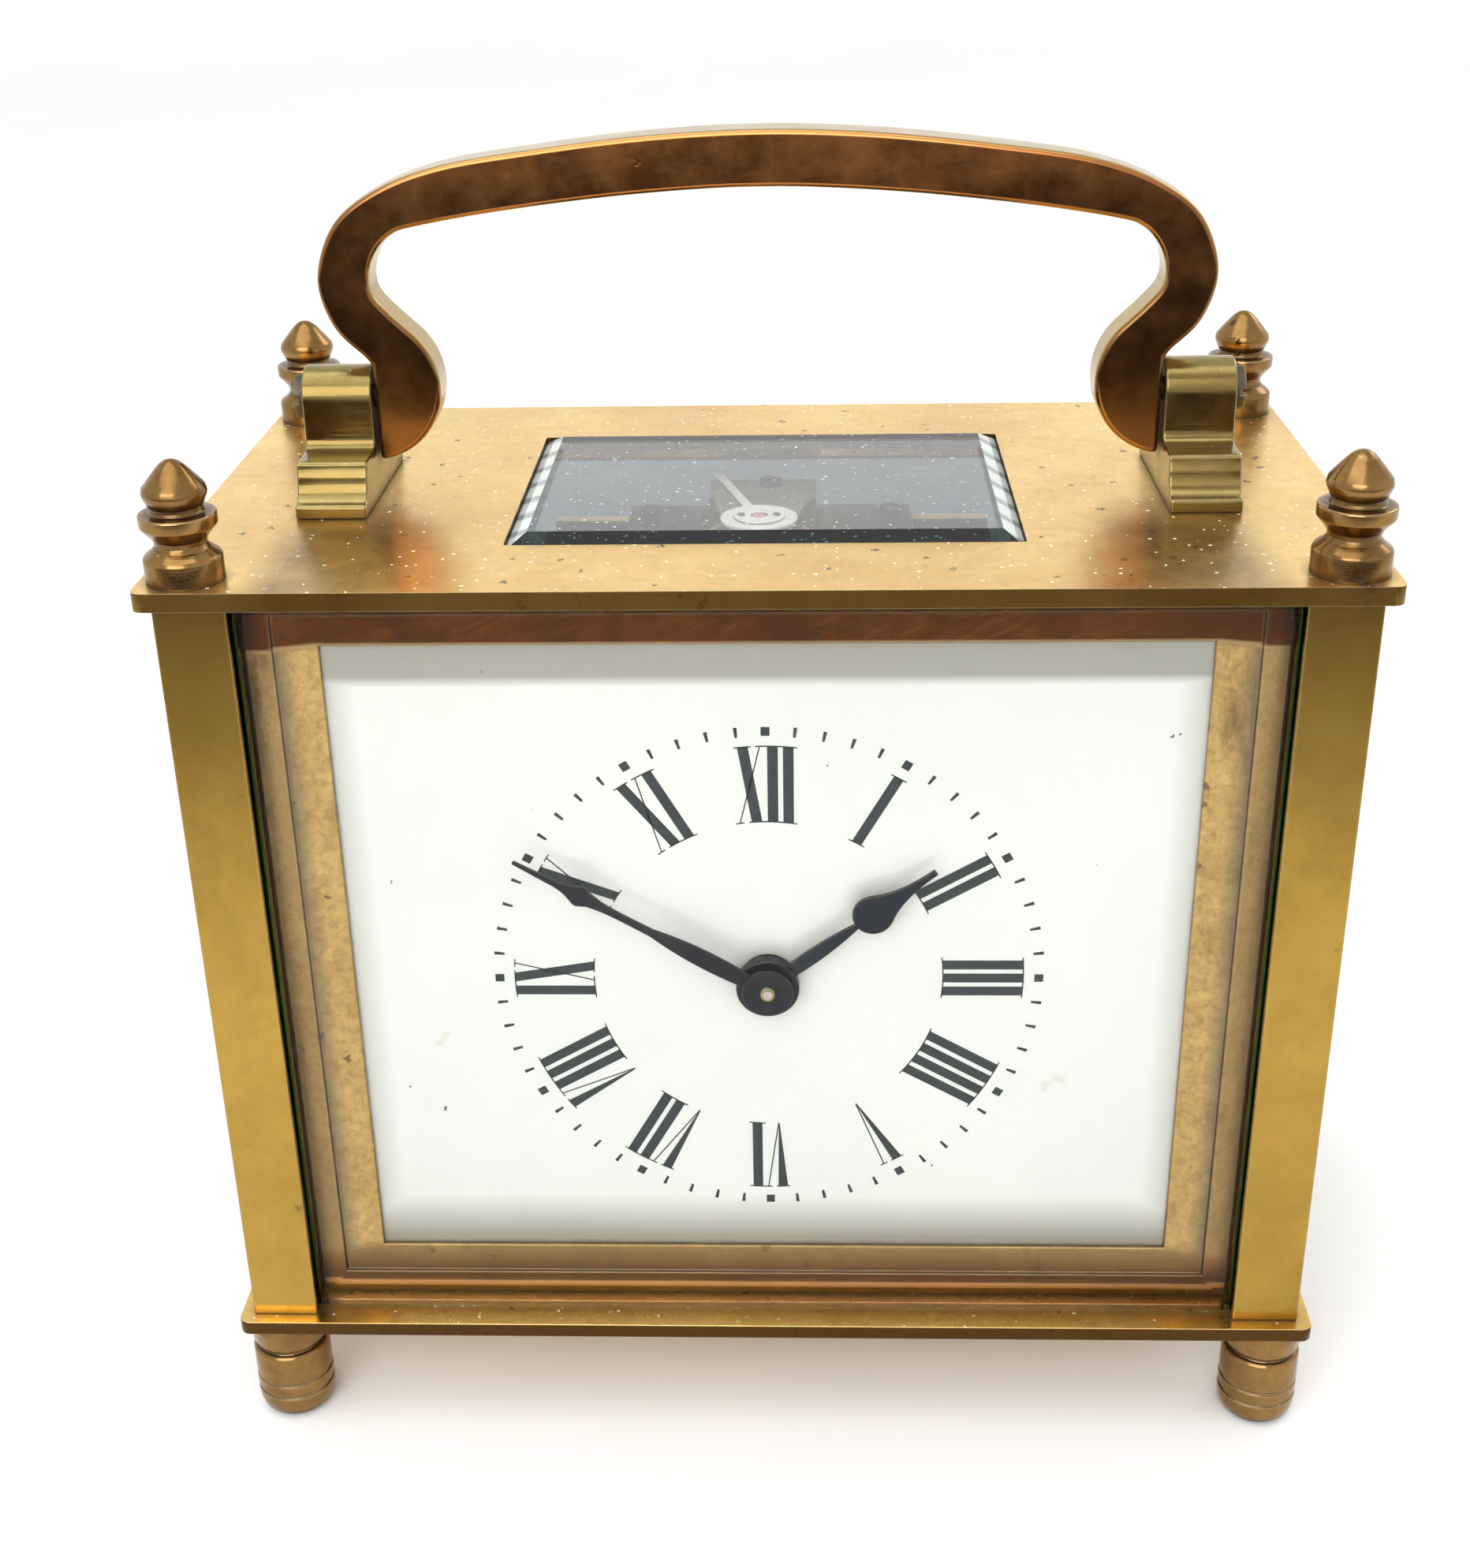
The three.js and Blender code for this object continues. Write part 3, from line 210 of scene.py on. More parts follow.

# %% [markdown]
# ## Old lacquered brass
# The case was polished, lacquered and then left alone for decades. Broad clouds of brown have
# grown in the lacquer, small pits have gone dark, the corners are rubbed bright and also carry a
# painted edge highlight, the hollows hold grime, and dust lies on what faces up. One recipe with
# amounts for each of those covers the plates, the pillars, the turned pieces and the moulded
# frame, so they look like one metal that has aged in different ways. Zones laid on top add
# stains and, on some pieces, painted light and shade.

# %% Brass recipe
def brass(name, bright, aged, clouding=0.5, cloud_size=60, fine=0.35, rough=(0.2, 0.42), grime=0.6,
          rub_and_highlight=0.7, dust=0.0, pits=0.86, brushing=(1, 1, 1), brush_depth=0.3, grime_tone=(38, 24, 12),
          zones=None, rub_and_highlight_reach=0.0003, grime_reach=0.0012):
    material, tree, metal = fresh(name)
    broad = band(tree, cloud(tree, cloud_size, 5, 0.6), 0.36, 0.66, 0.0, clouding)
    small = band(tree, cloud(tree, 620, 4, 0.65), 0.42, 0.72, 0.0, fine)
    colour = blendc(tree, broad, bright, aged)
    colour = blendc(tree, small, colour, blendc(tree, 0.5, aged, tone(*grime_tone)))
    pitted = specks(tree, 420, 0.13, pits)
    colour = blendc(tree, times(tree, pitted, 0.75), colour, tone(*grime_tone))
    # each zone lays a tone in place: stains on some pieces, painted light and shade on others
    for share, tint in zones(tree) if zones else ():
        colour = blendc(tree, share, colour, tint)
    # rubbed corners: wear, and a painted edge highlight as well
    worn_lit_edge = times(tree, worn_and_lit_corners(tree, rub_and_highlight_reach), rub_and_highlight)
    colour = blendc(tree, worn_lit_edge, colour, blendc(tree, 0.55, bright, (1.0, 0.86, 0.55, 1)))
    dirt = times(tree, hollows(tree, grime_reach), grime)
    colour = blendc(tree, dirt, colour, tone(*grime_tone))
    shine = band(tree, cloud(tree, 240, 4, 0.6), 0.35, 0.7, rough[0], rough[1])
    shine = sums(tree, "ADD", shine, times(tree, dirt, 0.25))
    metallic = rest_of(tree, times(tree, dirt, 0.35))
    if dust:
        lying = sums(tree, "MAXIMUM", specks(tree, 420, 0.04, 0.6), specks(tree, 900, 0.11, 0.6))
        lying = times(tree, lying, times(tree, facing(tree, 2, 0.6, 0.9), dust))
        colour = blendc(tree, lying, colour, tone(248, 240, 222))
        shine = sums(tree, "ADD", shine, times(tree, lying, 0.5))
        metallic = times(tree, metallic, rest_of(tree, lying))
    join_to(tree, colour, metal, "Base Color")
    join_to(tree, shine, metal, "Roughness")
    join_to(tree, metallic, metal, "Metallic")
    brushed = cloud(tree, 2600, 3, 0.6, brushing)
    relief = sums(tree, "ADD", brushed, times(tree, pitted, -0.8))
    bump = put(tree, "Bump", {"Height": relief, "Strength": brush_depth, "Distance": 0.00004})
    join_to(tree, bump.outputs[0], metal, "Normal")
    return material


print("brass recipe ready")

# %% [markdown]
# The plates have gone browner than the pillars, which are rubbed each time the clock is lifted.
# The turned feet and finials carry a coppery tone from thicker lacquer, and the moulded frame
# round the dial is a duller, mottled brass that nobody can reach to polish.

# %% Brass finishes
def edge_on(tree, axis):
    part = put(tree, "SeparateXYZ", {"Vector": put(tree, "TexCoord").outputs["Normal"]}).outputs[axis]
    square = put(tree, "Math", {0: part}, operation="ABSOLUTE").outputs[0]
    return band(tree, square, 0.5, 0.85)


def plate_sides(tree):
    upright = rest_of(tree, edge_on(tree, "Z"))
    across = from_middle(tree)
    inner_edge, outer_edge = band(tree, across, 0.0335, 0.0385), band(tree, across, 0.0505, 0.0465)
    # painted reflection of the handle's feet: a darker, uneven patch on the top plate in front of each foot
    handle_reflection_strip = times(tree, inner_edge, outer_edge)
    painted_handle_reflection = times(tree, handle_reflection_strip, band(tree, height(tree, "Y"), -0.0105, -0.0160))
    uneven = band(tree, cloud(tree, 130, 4, 0.7), 0.3, 0.6, 0.45, 0.75)
    return [(times(tree, painted_handle_reflection, uneven), tone(118, 98, 54)),
            (times(tree, upright, 0.92), tone(96, 68, 26))]


def base_sides(tree):
    upright = rest_of(tree, edge_on(tree, "Z"))
    return [(times(tree, upright, 0.97), tone(72, 48, 20))]


def handle_painted_light(tree):
    # painted highlight on the handle's cut edges
    edge_highlight = rest_of(tree, edge_on(tree, "Y"))
    # painted dark reflection on the handle's low stretch and painted highlight along its top
    low = band(tree, height(tree), 0.1260, 0.1160, 0.0, 0.45)
    high = band(tree, height(tree), 0.1310, 0.1345, 0.0, 0.7)
    return [(low, tone(72, 50, 26)), (high, tone(190, 124, 70)),
            (times(tree, edge_highlight, 0.9), tone(176, 150, 92))]


def bracket_painted_reflection(tree):
    # painted dark reflection on the faces of the moulding turned to the front and the back
    return [(times(tree, edge_on(tree, "Y"), 0.85), tone(108, 90, 50))]


def pillar_stains_and_reflection(tree):
    breath = band(tree, cloud(tree, 38, 6, 0.7, (1, 1, 0.5)), 0.54, 0.7, 0.0, 0.55)
    spots = band(tree, cloud(tree, 210, 3, 0.6), 0.68, 0.74, 0.0, 0.5)
    # painted dark reflection: the pillars go darker towards their tops
    upper = band(tree, height(tree), 0.064, 0.098, 0.0, 0.66)
    return [(breath, tone(140, 112, 62)), (spots, tone(92, 74, 44)), (upper, tone(92, 70, 32))]


plate_brass = brass("plate_brass", tone(246, 210, 132), tone(212, 170, 102), 0.7, 34, 0.18, (0.26, 0.36),
                    0.4, 0.8, 1.0, 0.8, (0.05, 1, 1), 0.08, zones=plate_sides, rub_and_highlight_reach=0.00012)
base_brass = brass("base_brass", tone(232, 198, 120), tone(200, 156, 86), 0.75, 34, 0.2, (0.24, 0.34),
                   0.4, 0.8, 0.6, 0.82, (0.05, 1, 1), 0.08, zones=base_sides, rub_and_highlight_reach=0.00012)

pillar_brass = brass("pillar_brass", tone(178, 144, 68), tone(148, 115, 50), 0.6, 50, 0.15, (0.16, 0.26),
                     0.5, 0.4, 0.0, 0.97, (1, 1, 0.04), 0.2, zones=pillar_stains_and_reflection)
turned_brass = brass("turned_brass", tone(152, 118, 70), tone(98, 70, 36), 0.6, 130, 0.3, (0.12, 0.24),
                     0.9, 0.8, 0.3, 0.93, (0.3, 0.3, 3), 0.3)
bracket_brass = brass("bracket_brass", tone(160, 146, 94), tone(120, 100, 54), 0.5, 110, 0.25, (0.14, 0.24),
                      0.7, 0.7, 0.2, 0.95, (0.04, 1, 1), 0.35, zones=bracket_painted_reflection)
handle_brass = brass("handle_brass", tone(150, 104, 62), tone(112, 74, 40), 0.6, 42, 0.2, (0.14, 0.24),
                     0.3, 0.35, 0.15, 0.93, (0.2, 1, 0.2), 0.2, zones=handle_painted_light)
door_brass = brass("door_brass", tone(212, 170, 96), tone(150, 108, 52), 0.7, 60, 0.3, (0.2, 0.36),
                   0.55, 0.7, 0.0, 0.88, (1, 1, 0.05), 0.25)
print("seven brasses")

# %% [markdown]
# The moulded frame is read in zones: an outer step; an inner step with painted shade along the
# step; a bar along the top in painted shadow and dark reflection, with scratches and tarnish in
# it and a painted highlight on its lip; and low down a bar of painted shade, a foot in painted
# shadow and a thin painted gleam. Each zone is a place on the frame, in metres, and a tone.

# %% Frame brass
def frame_zones(tree):
    fine = band(tree, cloud(tree, 900, 8, 0.85), 0.46, 0.6, 0.0, 0.5)
    coarse = band(tree, cloud(tree, 160, 6, 0.8, (1, 1, 0.5)), 0.48, 0.66, 0.0, 0.6)
    blotch = band(tree, cloud(tree, 80, 6, 0.75, (1, 1, 0.35)), 0.56, 0.7, 0.0, 0.85)
    across = from_middle(tree)
    # painted shade along the inner side of the step
    near_step = band(tree, across, 0.0466, 0.0484, 0.0, 0.7)
    outside = band(tree, across, 0.0485, 0.0487)
    step_shade = times(tree, near_step, rest_of(tree, outside))
    # painted shadow and dark reflection along the top bar; its scratches and tarnish are wear
    top = band(tree, height(tree), 0.0925, 0.0929)
    scratches = band(tree, cloud(tree, 2600, 2, 0.5, (0.05, 1, 1), 0.5), 0.5, 0.62, 0.0, 0.7)
    tarnish = band(tree, cloud(tree, 110, 5, 0.7), 0.4, 0.65, 0.0, 0.8)
    # painted highlight on the lip of the opening
    lip_highlight = band(tree, height(tree), 0.0932, 0.0928)
    # painted shade low down: the foot in painted shadow, a bar of painted shade above it and a thin painted
    # gleam in the foot
    foot = band(tree, height(tree), 0.0196, 0.0164)
    low_shade_bar = band(tree, height(tree), 0.0202, 0.0192, 0.0, 0.75)
    gleam_low, gleam_high = band(tree, height(tree), 0.0150, 0.0153), band(tree, height(tree), 0.0160, 0.0157)
    gleam = times(tree, gleam_high, gleam_low)
    return [(times(tree, outside, 0.8), tone(148, 122, 78)),
            (coarse, tone(172, 138, 82)),
            (fine, tone(128, 98, 56)),
            (blotch, tone(96, 76, 46)),
            (step_shade, tone(92, 84, 76)),
            (top, tone(84, 42, 8)),
            (times(tree, top, times(tree, scratches, 0.4)), tone(128, 78, 30)),
            (times(tree, top, tarnish), tone(56, 30, 10)),
            (times(tree, top, times(tree, lip_highlight, 0.6)), tone(206, 176, 124)),
            (low_shade_bar, tone(132, 104, 64)),
            (times(tree, foot, 0.9), tone(78, 56, 30)),
            (gleam, tone(180, 146, 110))]


mask_brass = brass("mask_brass", tone(206, 172, 110), tone(178, 142, 84), 0.8, 150, 0.25, (0.28, 0.42),
                   0.5, 0.3, 0.0, 0.84, (1, 1, 1), 0.8, (64, 52, 38), frame_zones, 0.0003, 0.0005)
print("frame brass")

# %% [markdown]
# ## Movement metals
# The movement plates and wheels are plain brass with a straight or circular grain, cleaner than
# the case because the glass keeps hands off. The regulator, the cock and the end-piece have a
# frosted silvering, which is grainy and never mirrors. Steel comes in three tempers: bright for
# arbors, click and ratchet, blued for springs and screws, and blackened for the hands.

# %% Movement finishes
def shaded_inside(tree):
    inward = facing(tree, 1, -0.5, -0.8)
    return [(times(tree, inward, 0.9), tone(66, 56, 40))]


def frosted(name, light, dull, metallic, rough):
    material, tree, metal = fresh(name)
    veil = band(tree, cloud(tree, 500, 4, 0.6), 0.35, 0.65)
    grain = cloud(tree, 3000, 2, 0.6)
    colour = blendc(tree, veil, light, dull)
    colour = blendc(tree, times(tree, hollows(tree, 0.0003), 0.5), colour, tone(70, 64, 54))
    join_to(tree, colour, metal, "Base Color")
    metal.inputs["Metallic"].default_value = metallic
    join_to(tree, band(tree, grain, 0.3, 0.7, rough[0], rough[1]), metal, "Roughness")
    relief = put(tree, "Bump", {"Height": grain, "Strength": 0.15, "Distance": 0.00002})
    join_to(tree, relief.outputs[0], metal, "Normal")
    return material


def steel(name, light, dull, rough=(0.14, 0.3), grime=0.4, rub_and_highlight=0.4):
    return brass(name, light, dull, 0.5, 150, 0.2, rough, grime, rub_and_highlight, 0.0, 0.93, (1, 1, 1), 0.25,
                 (40, 34, 30))


movement_brass = brass("movement_brass", tone(226, 194, 122), tone(186, 148, 84), 0.45, 80, 0.15, (0.2, 0.32),
                       0.5, 0.5, 0.0, 0.95, (1, 1, 0.03), 0.35)
frame_plate_brass = brass("frame_plate_brass", tone(216, 184, 116), tone(190, 154, 90), 0.4, 40, 0.12,
                          (0.34, 0.46), 0.4, 0.5, 0.0, 0.97, (1, 1, 0.03), 0.12, zones=shaded_inside)
dark_brass = brass("dark_brass", tone(96, 88, 74), tone(70, 64, 54), 0.5, 70, 0.2, (0.36, 0.5),
                   0.5, 0.5, 0.0, 0.96, (1, 1, 1), 0.2)
silvered = frosted("silvered", tone(250, 249, 242), tone(226, 224, 214), 0.35, (0.3, 0.42))
cock_silver = frosted("cock_silver", tone(150, 142, 124), tone(126, 116, 98), 0.7, (0.36, 0.5))
bright_steel = steel("bright_steel", tone(205, 206, 208), tone(150, 150, 152))
blued_steel = steel("blued_steel", tone(50, 60, 96), tone(30, 34, 54), (0.15, 0.28))
black_steel = steel("black_steel", tone(48, 51, 58), tone(25, 27, 32), (0.26, 0.42), 0.4, 0.2)
print("movement metals")

# %% [markdown]
# ## Enamel and its black
# The dial is fired white enamel. It is nearly even, with a faint waviness in its gloss, a few
# tea-coloured stains and tiny dark specks. Grey painted shade lies in the hollows next to the
# frame, and a painted shadow of the frame runs along the top, the foot and the sides. The
# numerals are a matt dark green-black paint, modelled as thin raised strokes.

# %% Enamel finishes
def enamel_white():
    material, tree, glaze = fresh("dial_enamel")
    uneven = band(tree, cloud(tree, 40, 3), 0.4, 0.7, 0.0, 0.5)
    colour = blendc(tree, uneven, tone(234, 233, 227), tone(228, 227, 220))
    tint = specks(tree, 120, 0.1, 0.9)
    colour = blendc(tree, times(tree, tint, 0.35), colour, tone(206, 190, 150))
    dark = specks(tree, 260, 0.045, 0.9)
    colour = blendc(tree, times(tree, dark, 0.9), colour, tone(60, 54, 44))
    # painted shade in the hollows next to the frame
    shaded = times(tree, hollows(tree, 0.0025, 0.3, 0.9), 0.35)
    colour = blendc(tree, shaded, colour, tone(150, 142, 124))
    # painted shadow of the frame: grey bands along the top, the foot and the sides of the dial
    across = from_middle(tree)
    top = band(tree, height(tree), 0.0882, 0.0893)
    foot = band(tree, height(tree), 0.0262, 0.0205)
    side = band(tree, across, 0.0412, 0.0440)
    rim = sums(tree, "MAXIMUM", times(tree, top, 0.85), times(tree, foot, 0.95))
    rim = sums(tree, "MAXIMUM", rim, times(tree, side, 0.4))
    colour = blendc(tree, rim, colour, tone(146, 140, 126))
    join_to(tree, colour, glaze, "Base Color")
    join_to(tree, band(tree, cloud(tree, 90, 3), 0.3, 0.7, 0.16, 0.26), glaze, "Roughness")
    ripple = put(tree, "Bump", {"Height": cloud(tree, 260, 2), "Strength": 0.1, "Distance": 0.00008})
    join_to(tree, ripple.outputs[0], glaze, "Normal")
    glaze.inputs["Coat Weight"].default_value = 0.4
    glaze.inputs["Coat Roughness"].default_value = 0.06
    return material


def numeral_black():
    material, tree, paint = fresh("numeral_black")
    worn = band(tree, cloud(tree, 900, 4, 0.7), 0.45, 0.8, 0.0, 0.5)
    colour = blendc(tree, worn, tone(34, 42, 42), tone(62, 70, 68))
    join_to(tree, colour, paint, "Base Color")
    join_to(tree, band(tree, worn, 0.0, 0.5, 0.45, 0.7), paint, "Roughness")
    grain = put(tree, "Bump", {"Height": cloud(tree, 4000, 2), "Strength": 0.2, "Distance": 0.00002})
    join_to(tree, grain.outputs[0], paint, "Normal")
    return material


dial_enamel = enamel_white()
numeral_paint = numeral_black()
print("enamel")

# %% [markdown]
# ## Glass and jewels
# The panes are old sheet glass: clear through their thickness and sea green along it. A solid
# pane with a transmitting shader and a little absorption inside gives both. Faint smears and
# dust change only the gloss, so the glass stays clear. The roof pane's ground bevels carry
# painted reflections: the tones that a bevel picks up from its surroundings, set by the way each
# bevel faces.

# %% Glass finishes
def pane_margin(tree):
    across = from_middle(tree)
    side = band(tree, across, 0.0511, 0.0513)
    top = band(tree, height(tree), 0.0978, 0.0981)
    return sums(tree, "MAXIMUM", side, top), band(tree, height(tree), 0.0166, 0.0158)


SMEARED_ROUGH = 0.05


def pane_glass(name, dusty=0.0, margin=False, index=1.5):
    material, tree, glass = fresh(name)
    glass.inputs["Transmission Weight"].default_value = 1
    glass.inputs["IOR"].default_value = index
    colour = blendc(tree, band(tree, cloud(tree, 50, 3), 0.3, 0.7), (1, 1, 1, 1), (0.97, 0.985, 0.98, 1))
    if dusty:
        lint = sums(tree, "MAXIMUM", specks(tree, 420, 0.045, 0.6), specks(tree, 900, 0.1, 0.55))
        lint = times(tree, lint, times(tree, facing(tree, 2, 0.9, 0.98), dusty))
        colour = blendc(tree, lint, colour, tone(226, 230, 230))
    if margin:
        rim, foot = pane_margin(tree)
        colour = blendc(tree, foot, colour, (0.62, 0.5, 0.36, 1))
        colour = blendc(tree, rim, colour, (0.12, 0.42, 0.37, 1))
    if dusty:
        # painted reflections on the roof pane's bevels: grey stripes on the side bevels, teal on the front
        # bevel and pale grey on the back bevel
        normal = put(tree, "SeparateXYZ", {"Vector": put(tree, "TexCoord").outputs["Normal"]}).outputs
        slope = put(tree, "Math", {0: normal["X"]}, operation="ABSOLUTE").outputs[0]
        side_bevel = times(tree, band(tree, slope, 0.3, 0.4), sums(tree, "LESS_THAN", slope, 0.8))
        wires = {"Vector": spot_place(tree, (0.5, 1, 1)), "Scale": 112.0, "Distortion": 0.5}
        stripe = put(tree, "TexWave", wires, bands_direction="DIAGONAL").outputs["Fac"]
        ground_reflection_stripes = blendc(tree, band(tree, stripe, 0.05, 0.45), tone(146, 158, 156), tone(226, 234, 231))
        colour = blendc(tree, side_bevel, colour, ground_reflection_stripes)
        clear = times(tree, rest_of(tree, times(tree, side_bevel, 0.75)), rest_of(tree, lint))
        join_to(tree, clear, glass, "Transmission Weight")
        front_bevel = times(tree, band(tree, normal["Y"], -0.3, -0.4), facing(tree, 2, 0.5, 0.6))
        colour = blendc(tree, front_bevel, colour, tone(52, 142, 140))
        back_bevel = times(tree, band(tree, normal["Y"], 0.3, 0.4), facing(tree, 2, 0.5, 0.6))
        colour = blendc(tree, back_bevel, colour, tone(176, 182, 186))
    join_to(tree, colour, glass, "Base Color")
    join_to(tree, band(tree, cloud(tree, 70, 4, 0.7), 0.45, 0.8, 0.0, SMEARED_ROUGH), glass, "Roughness")
    inside = put(tree, "VolumeAbsorption", {"Color": (0.3, 0.8, 0.7, 1), "Density": 8.0})
    tree.links.new(inside.outputs[0], tree.nodes["Material Output"].inputs["Volume"])
    return material


def ruby_jewel():
    material, tree, jewel = fresh("ruby_jewel")
    jewel.inputs["IOR"].default_value = 1.76
    jewel.inputs["Transmission Weight"].default_value = 0.35
    rosy = band(tree, cloud(tree, 1800, 3), 0.3, 0.7)
    join_to(tree, blendc(tree, rosy, tone(222, 120, 120), tone(238, 190, 186)), jewel, "Base Color")
    join_to(tree, band(tree, cloud(tree, 2400, 2), 0.3, 0.7, 0.05, 0.15), jewel, "Roughness")
    return material


case_glass = pane_glass("case_glass")
front_pane_glass = pane_glass("front_pane_glass", margin=True, index=1.18)
roof_glass = pane_glass("roof_glass", 0.85, index=1.3)
jewel_red = ruby_jewel()
print("glass and jewel")

# %% [markdown]
# ## Dressing a node
# Flat-sided pieces keep the frame's shape. A copy of the node's mesh has its split triangles
# joined back into whole faces, and a small bevel takes the place of the sharp corner a file
# would have broken on the bench. The copy stands in for the node and rides on its body.

# %% Dressing helpers
MERGE_GAP, FLAT_ANGLE = 2e-6, math.radians(1.0)


def settle(piece, body, material, stands_for=()):
    piece.data.materials.clear()
    for finish in material if isinstance(material, (list, tuple)) else [material]:
        piece.data.materials.append(finish)
    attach(piece, body)
    if stands_for:
        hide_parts(*stands_for)


def as_piece(name, bm):
    bmesh.ops.recalc_face_normals(bm, faces=bm.faces)
    mesh = bpy.data.meshes.new(name)
    bm.to_mesh(mesh)
    bm.free()
    piece = bpy.data.objects.new(name, mesh)
    bpy.context.scene.collection.objects.link(piece)
    return piece


def break_edges(piece, width, steps=2, angle=30):
    piece.data.shade_smooth()
    bevel = piece.modifiers.new("broken_edges", "BEVEL")
    bevel.width = width
    bevel.segments = steps
    bevel.limit_method = "ANGLE"
    bevel.angle_limit = math.radians(angle)
    bevel.harden_normals = True
    bevel.use_clamp_overlap = True


def body_of(node):
    return nodes[node]["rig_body"]


def slot_of(node):
    return nodes[node].data.materials[0].name.split(".")[0]


def filed(node, material, width=0.15 * MM, steps=2):
    bm = bmesh.new()
    bm.from_mesh(nodes[node].data)
    bmesh.ops.remove_doubles(bm, verts=bm.verts, dist=MERGE_GAP)
    bmesh.ops.dissolve_limit(bm, angle_limit=FLAT_ANGLE, verts=bm.verts, edges=bm.edges)
    piece = as_piece(node + "_filed", bm)
    if width:
        break_edges(piece, width, steps)
        flats = piece.modifiers.new("flat_faces", "WEIGHTED_NORMAL")
        flats.mode, flats.weight = "FACE_AREA", 100
    settle(piece, body_of(node), material, [node])


print("slots", sorted({slot_of(name) for name in nodes}))

# %% [markdown]
# ## Plates and pillars
# Two thin plates clamp four square pillars. Their flat faces only need crisp, slightly broken
# corners, which is what catches the bright line along each plate.

# %% Plates and pillars
filed("top_plate", plate_brass, 0.28 * MM, 3)
filed("base_plate", base_brass, 0.28 * MM, 3)
for corner in ("front_left", "front_right", "back_left", "back_right"):
    filed("pillar_" + corner, pillar_brass, 0.22 * MM, 2)

# %% [markdown]
# ## Turned feet and finials
# These come off a lathe, so they are spun from a profile in many steps. Each profile has
# sharp arrises with tiny flats beside them, since a true knife edge would never catch light.

# %% Turning
def spun(name, profile, place, steps=64, tilt=None):
    bm = bmesh.new()
    rings = []
    for radius, rise in profile:
        if radius < 1e-6:
            rings.append([bm.verts.new((0, 0, rise))])
            continue
        ring = [bm.verts.new((radius * math.cos(2 * math.pi * i / steps),
                              radius * math.sin(2 * math.pi * i / steps), rise)) for i in range(steps)]
        rings.append(ring)
    for lower, upper in zip(rings, rings[1:]):
        for i in range(steps):
            j = (i + 1) % steps
            loop = [lower[i % len(lower)], lower[j % len(lower)],
                    upper[j % len(upper)], upper[i % len(upper)]]
            corners_once = list(dict.fromkeys(loop))
            if len(corners_once) > 2:
                bm.faces.new(corners_once)
    matrix = Matrix.Translation(place) @ (tilt or Matrix.Identity(4)) @ Matrix.Scale(MM, 4)
    bmesh.ops.transform(bm, matrix=matrix, verts=bm.verts)
    piece = as_piece(name, bm)
    piece.data.shade_smooth()
    piece.data.set_sharp_from_angle(angle=math.radians(20))
    return piece


def eased(profile, ease=0.12):
    """Cuts each inner corner of a profile by a small flat."""
    out = [profile[0]]
    for before, here, after in zip(profile, profile[1:], profile[2:]):
        for other in (before, after):
            reach = math.dist(here, other)
            share = min(ease / reach, 0.33)
            out.append((here[0] + (other[0] - here[0]) * share, here[1] + (other[1] - here[1]) * share))
    return out + [profile[-1]]


FOOT = [(0, 0), (2.7, 0), (3.55, 0.25), (4.05, 0.85), (4.3, 1.8), (4.35, 2.9), (4.16, 3.05), (4.16, 3.3),
        (4.34, 3.45), (4.33, 4.6), (4.16, 4.75), (4.16, 5.0), (4.32, 5.15), (4.28, 8.6), (4.05, 8.9),
        (3.72, 9.0), (3.72, 9.5), (4.05, 9.6), (4.2, 9.85), (4.2, 12.5), (0, 12.5)]
FINIAL = [(0, 0), (3.8, 0), (3.8, 2.3), (3.62, 2.62), (2.75, 3.25), (2.5, 3.7), (2.62, 4.2), (3.0, 4.72),
          (3.55, 5.35), (3.74, 5.6), (3.74, 6.6), (3.62, 6.74), (2.72, 6.86), (2.52, 7.1), (2.52, 7.45),
          (2.7, 7.6), (3.08, 8.5), (3.12, 8.75), (2.98, 9.3), (2.1, 10.35), (1.45, 11.1), (1.05, 11.5),
          (0.6, 11.78), (0.3, 11.87), (0, 11.9)]
CORNER_X, CORNER_Y, ROOF = 55.5, 28.7, 101.2
CORNERS = {"front_left": (-1, -1), "front_right": (1, -1), "back_left": (-1, 1), "back_right": (1, 1)}
for corner, (sx, sy) in CORNERS.items():
    foot = spun("foot_turned_" + corner, eased(FOOT, 0.05), Vector((sx * CORNER_X, sy * CORNER_Y, 0)) * MM)
    settle(foot, "case", turned_brass, ["foot_" + corner])
    finial_place = Vector((sx * CORNER_X, sy * CORNER_Y, ROOF)) * MM
    finial = spun("finial_turned_" + corner, eased(FINIAL, 0.05), finial_place)
    settle(finial, "case", turned_brass, ["finial_" + corner])
print("four feet, four finials")

# %% [markdown]
# ## Handle and brackets
# The handle is sawn from thick brass sheet to a smooth S outline on each side. A Catmull-Rom
# curve through a few points gives that outline, and the sheet is built from it with broken
# edges. The brackets are lengths of one moulding, so their side outline is run along the clock.

# %% Outline helpers
CURVE_STEPS = 10


def through(points):
    """Points on a smooth curve that passes through every given point."""
    padded = [points[0]] + list(points) + [points[-1]]
    out = []
    for a, b, c, d in zip(padded, padded[1:], padded[2:], padded[3:]):
        for i in range(CURVE_STEPS):
            t = i / CURVE_STEPS
            out.append(tuple(0.5 * (2 * b[k] + (c[k] - a[k]) * t
                                    + (2 * a[k] - 5 * b[k] + 4 * c[k] - d[k]) * t * t
                                    + (3 * b[k] - a[k] - 3 * c[k] + d[k]) * t ** 3) for k in (0, 1)))
    return out + [tuple(points[-1])]


def arc(centre, radius, start, end, steps=16):
    angles = [math.radians(start + (end - start) * i / steps) for i in range(steps + 1)]
    return [(centre[0] + radius * math.cos(a), centre[1] + radius * math.sin(a)) for a in angles]


def bend(start, control, end, steps=10):
    out = []
    for i in range(steps + 1):
        t = i / steps
        out.append(tuple((1 - t) ** 2 * start[k] + 2 * t * (1 - t) * control[k] + t * t * end[k]
                         for k in (0, 1)))
    return out


SAME_POINT = 0.02


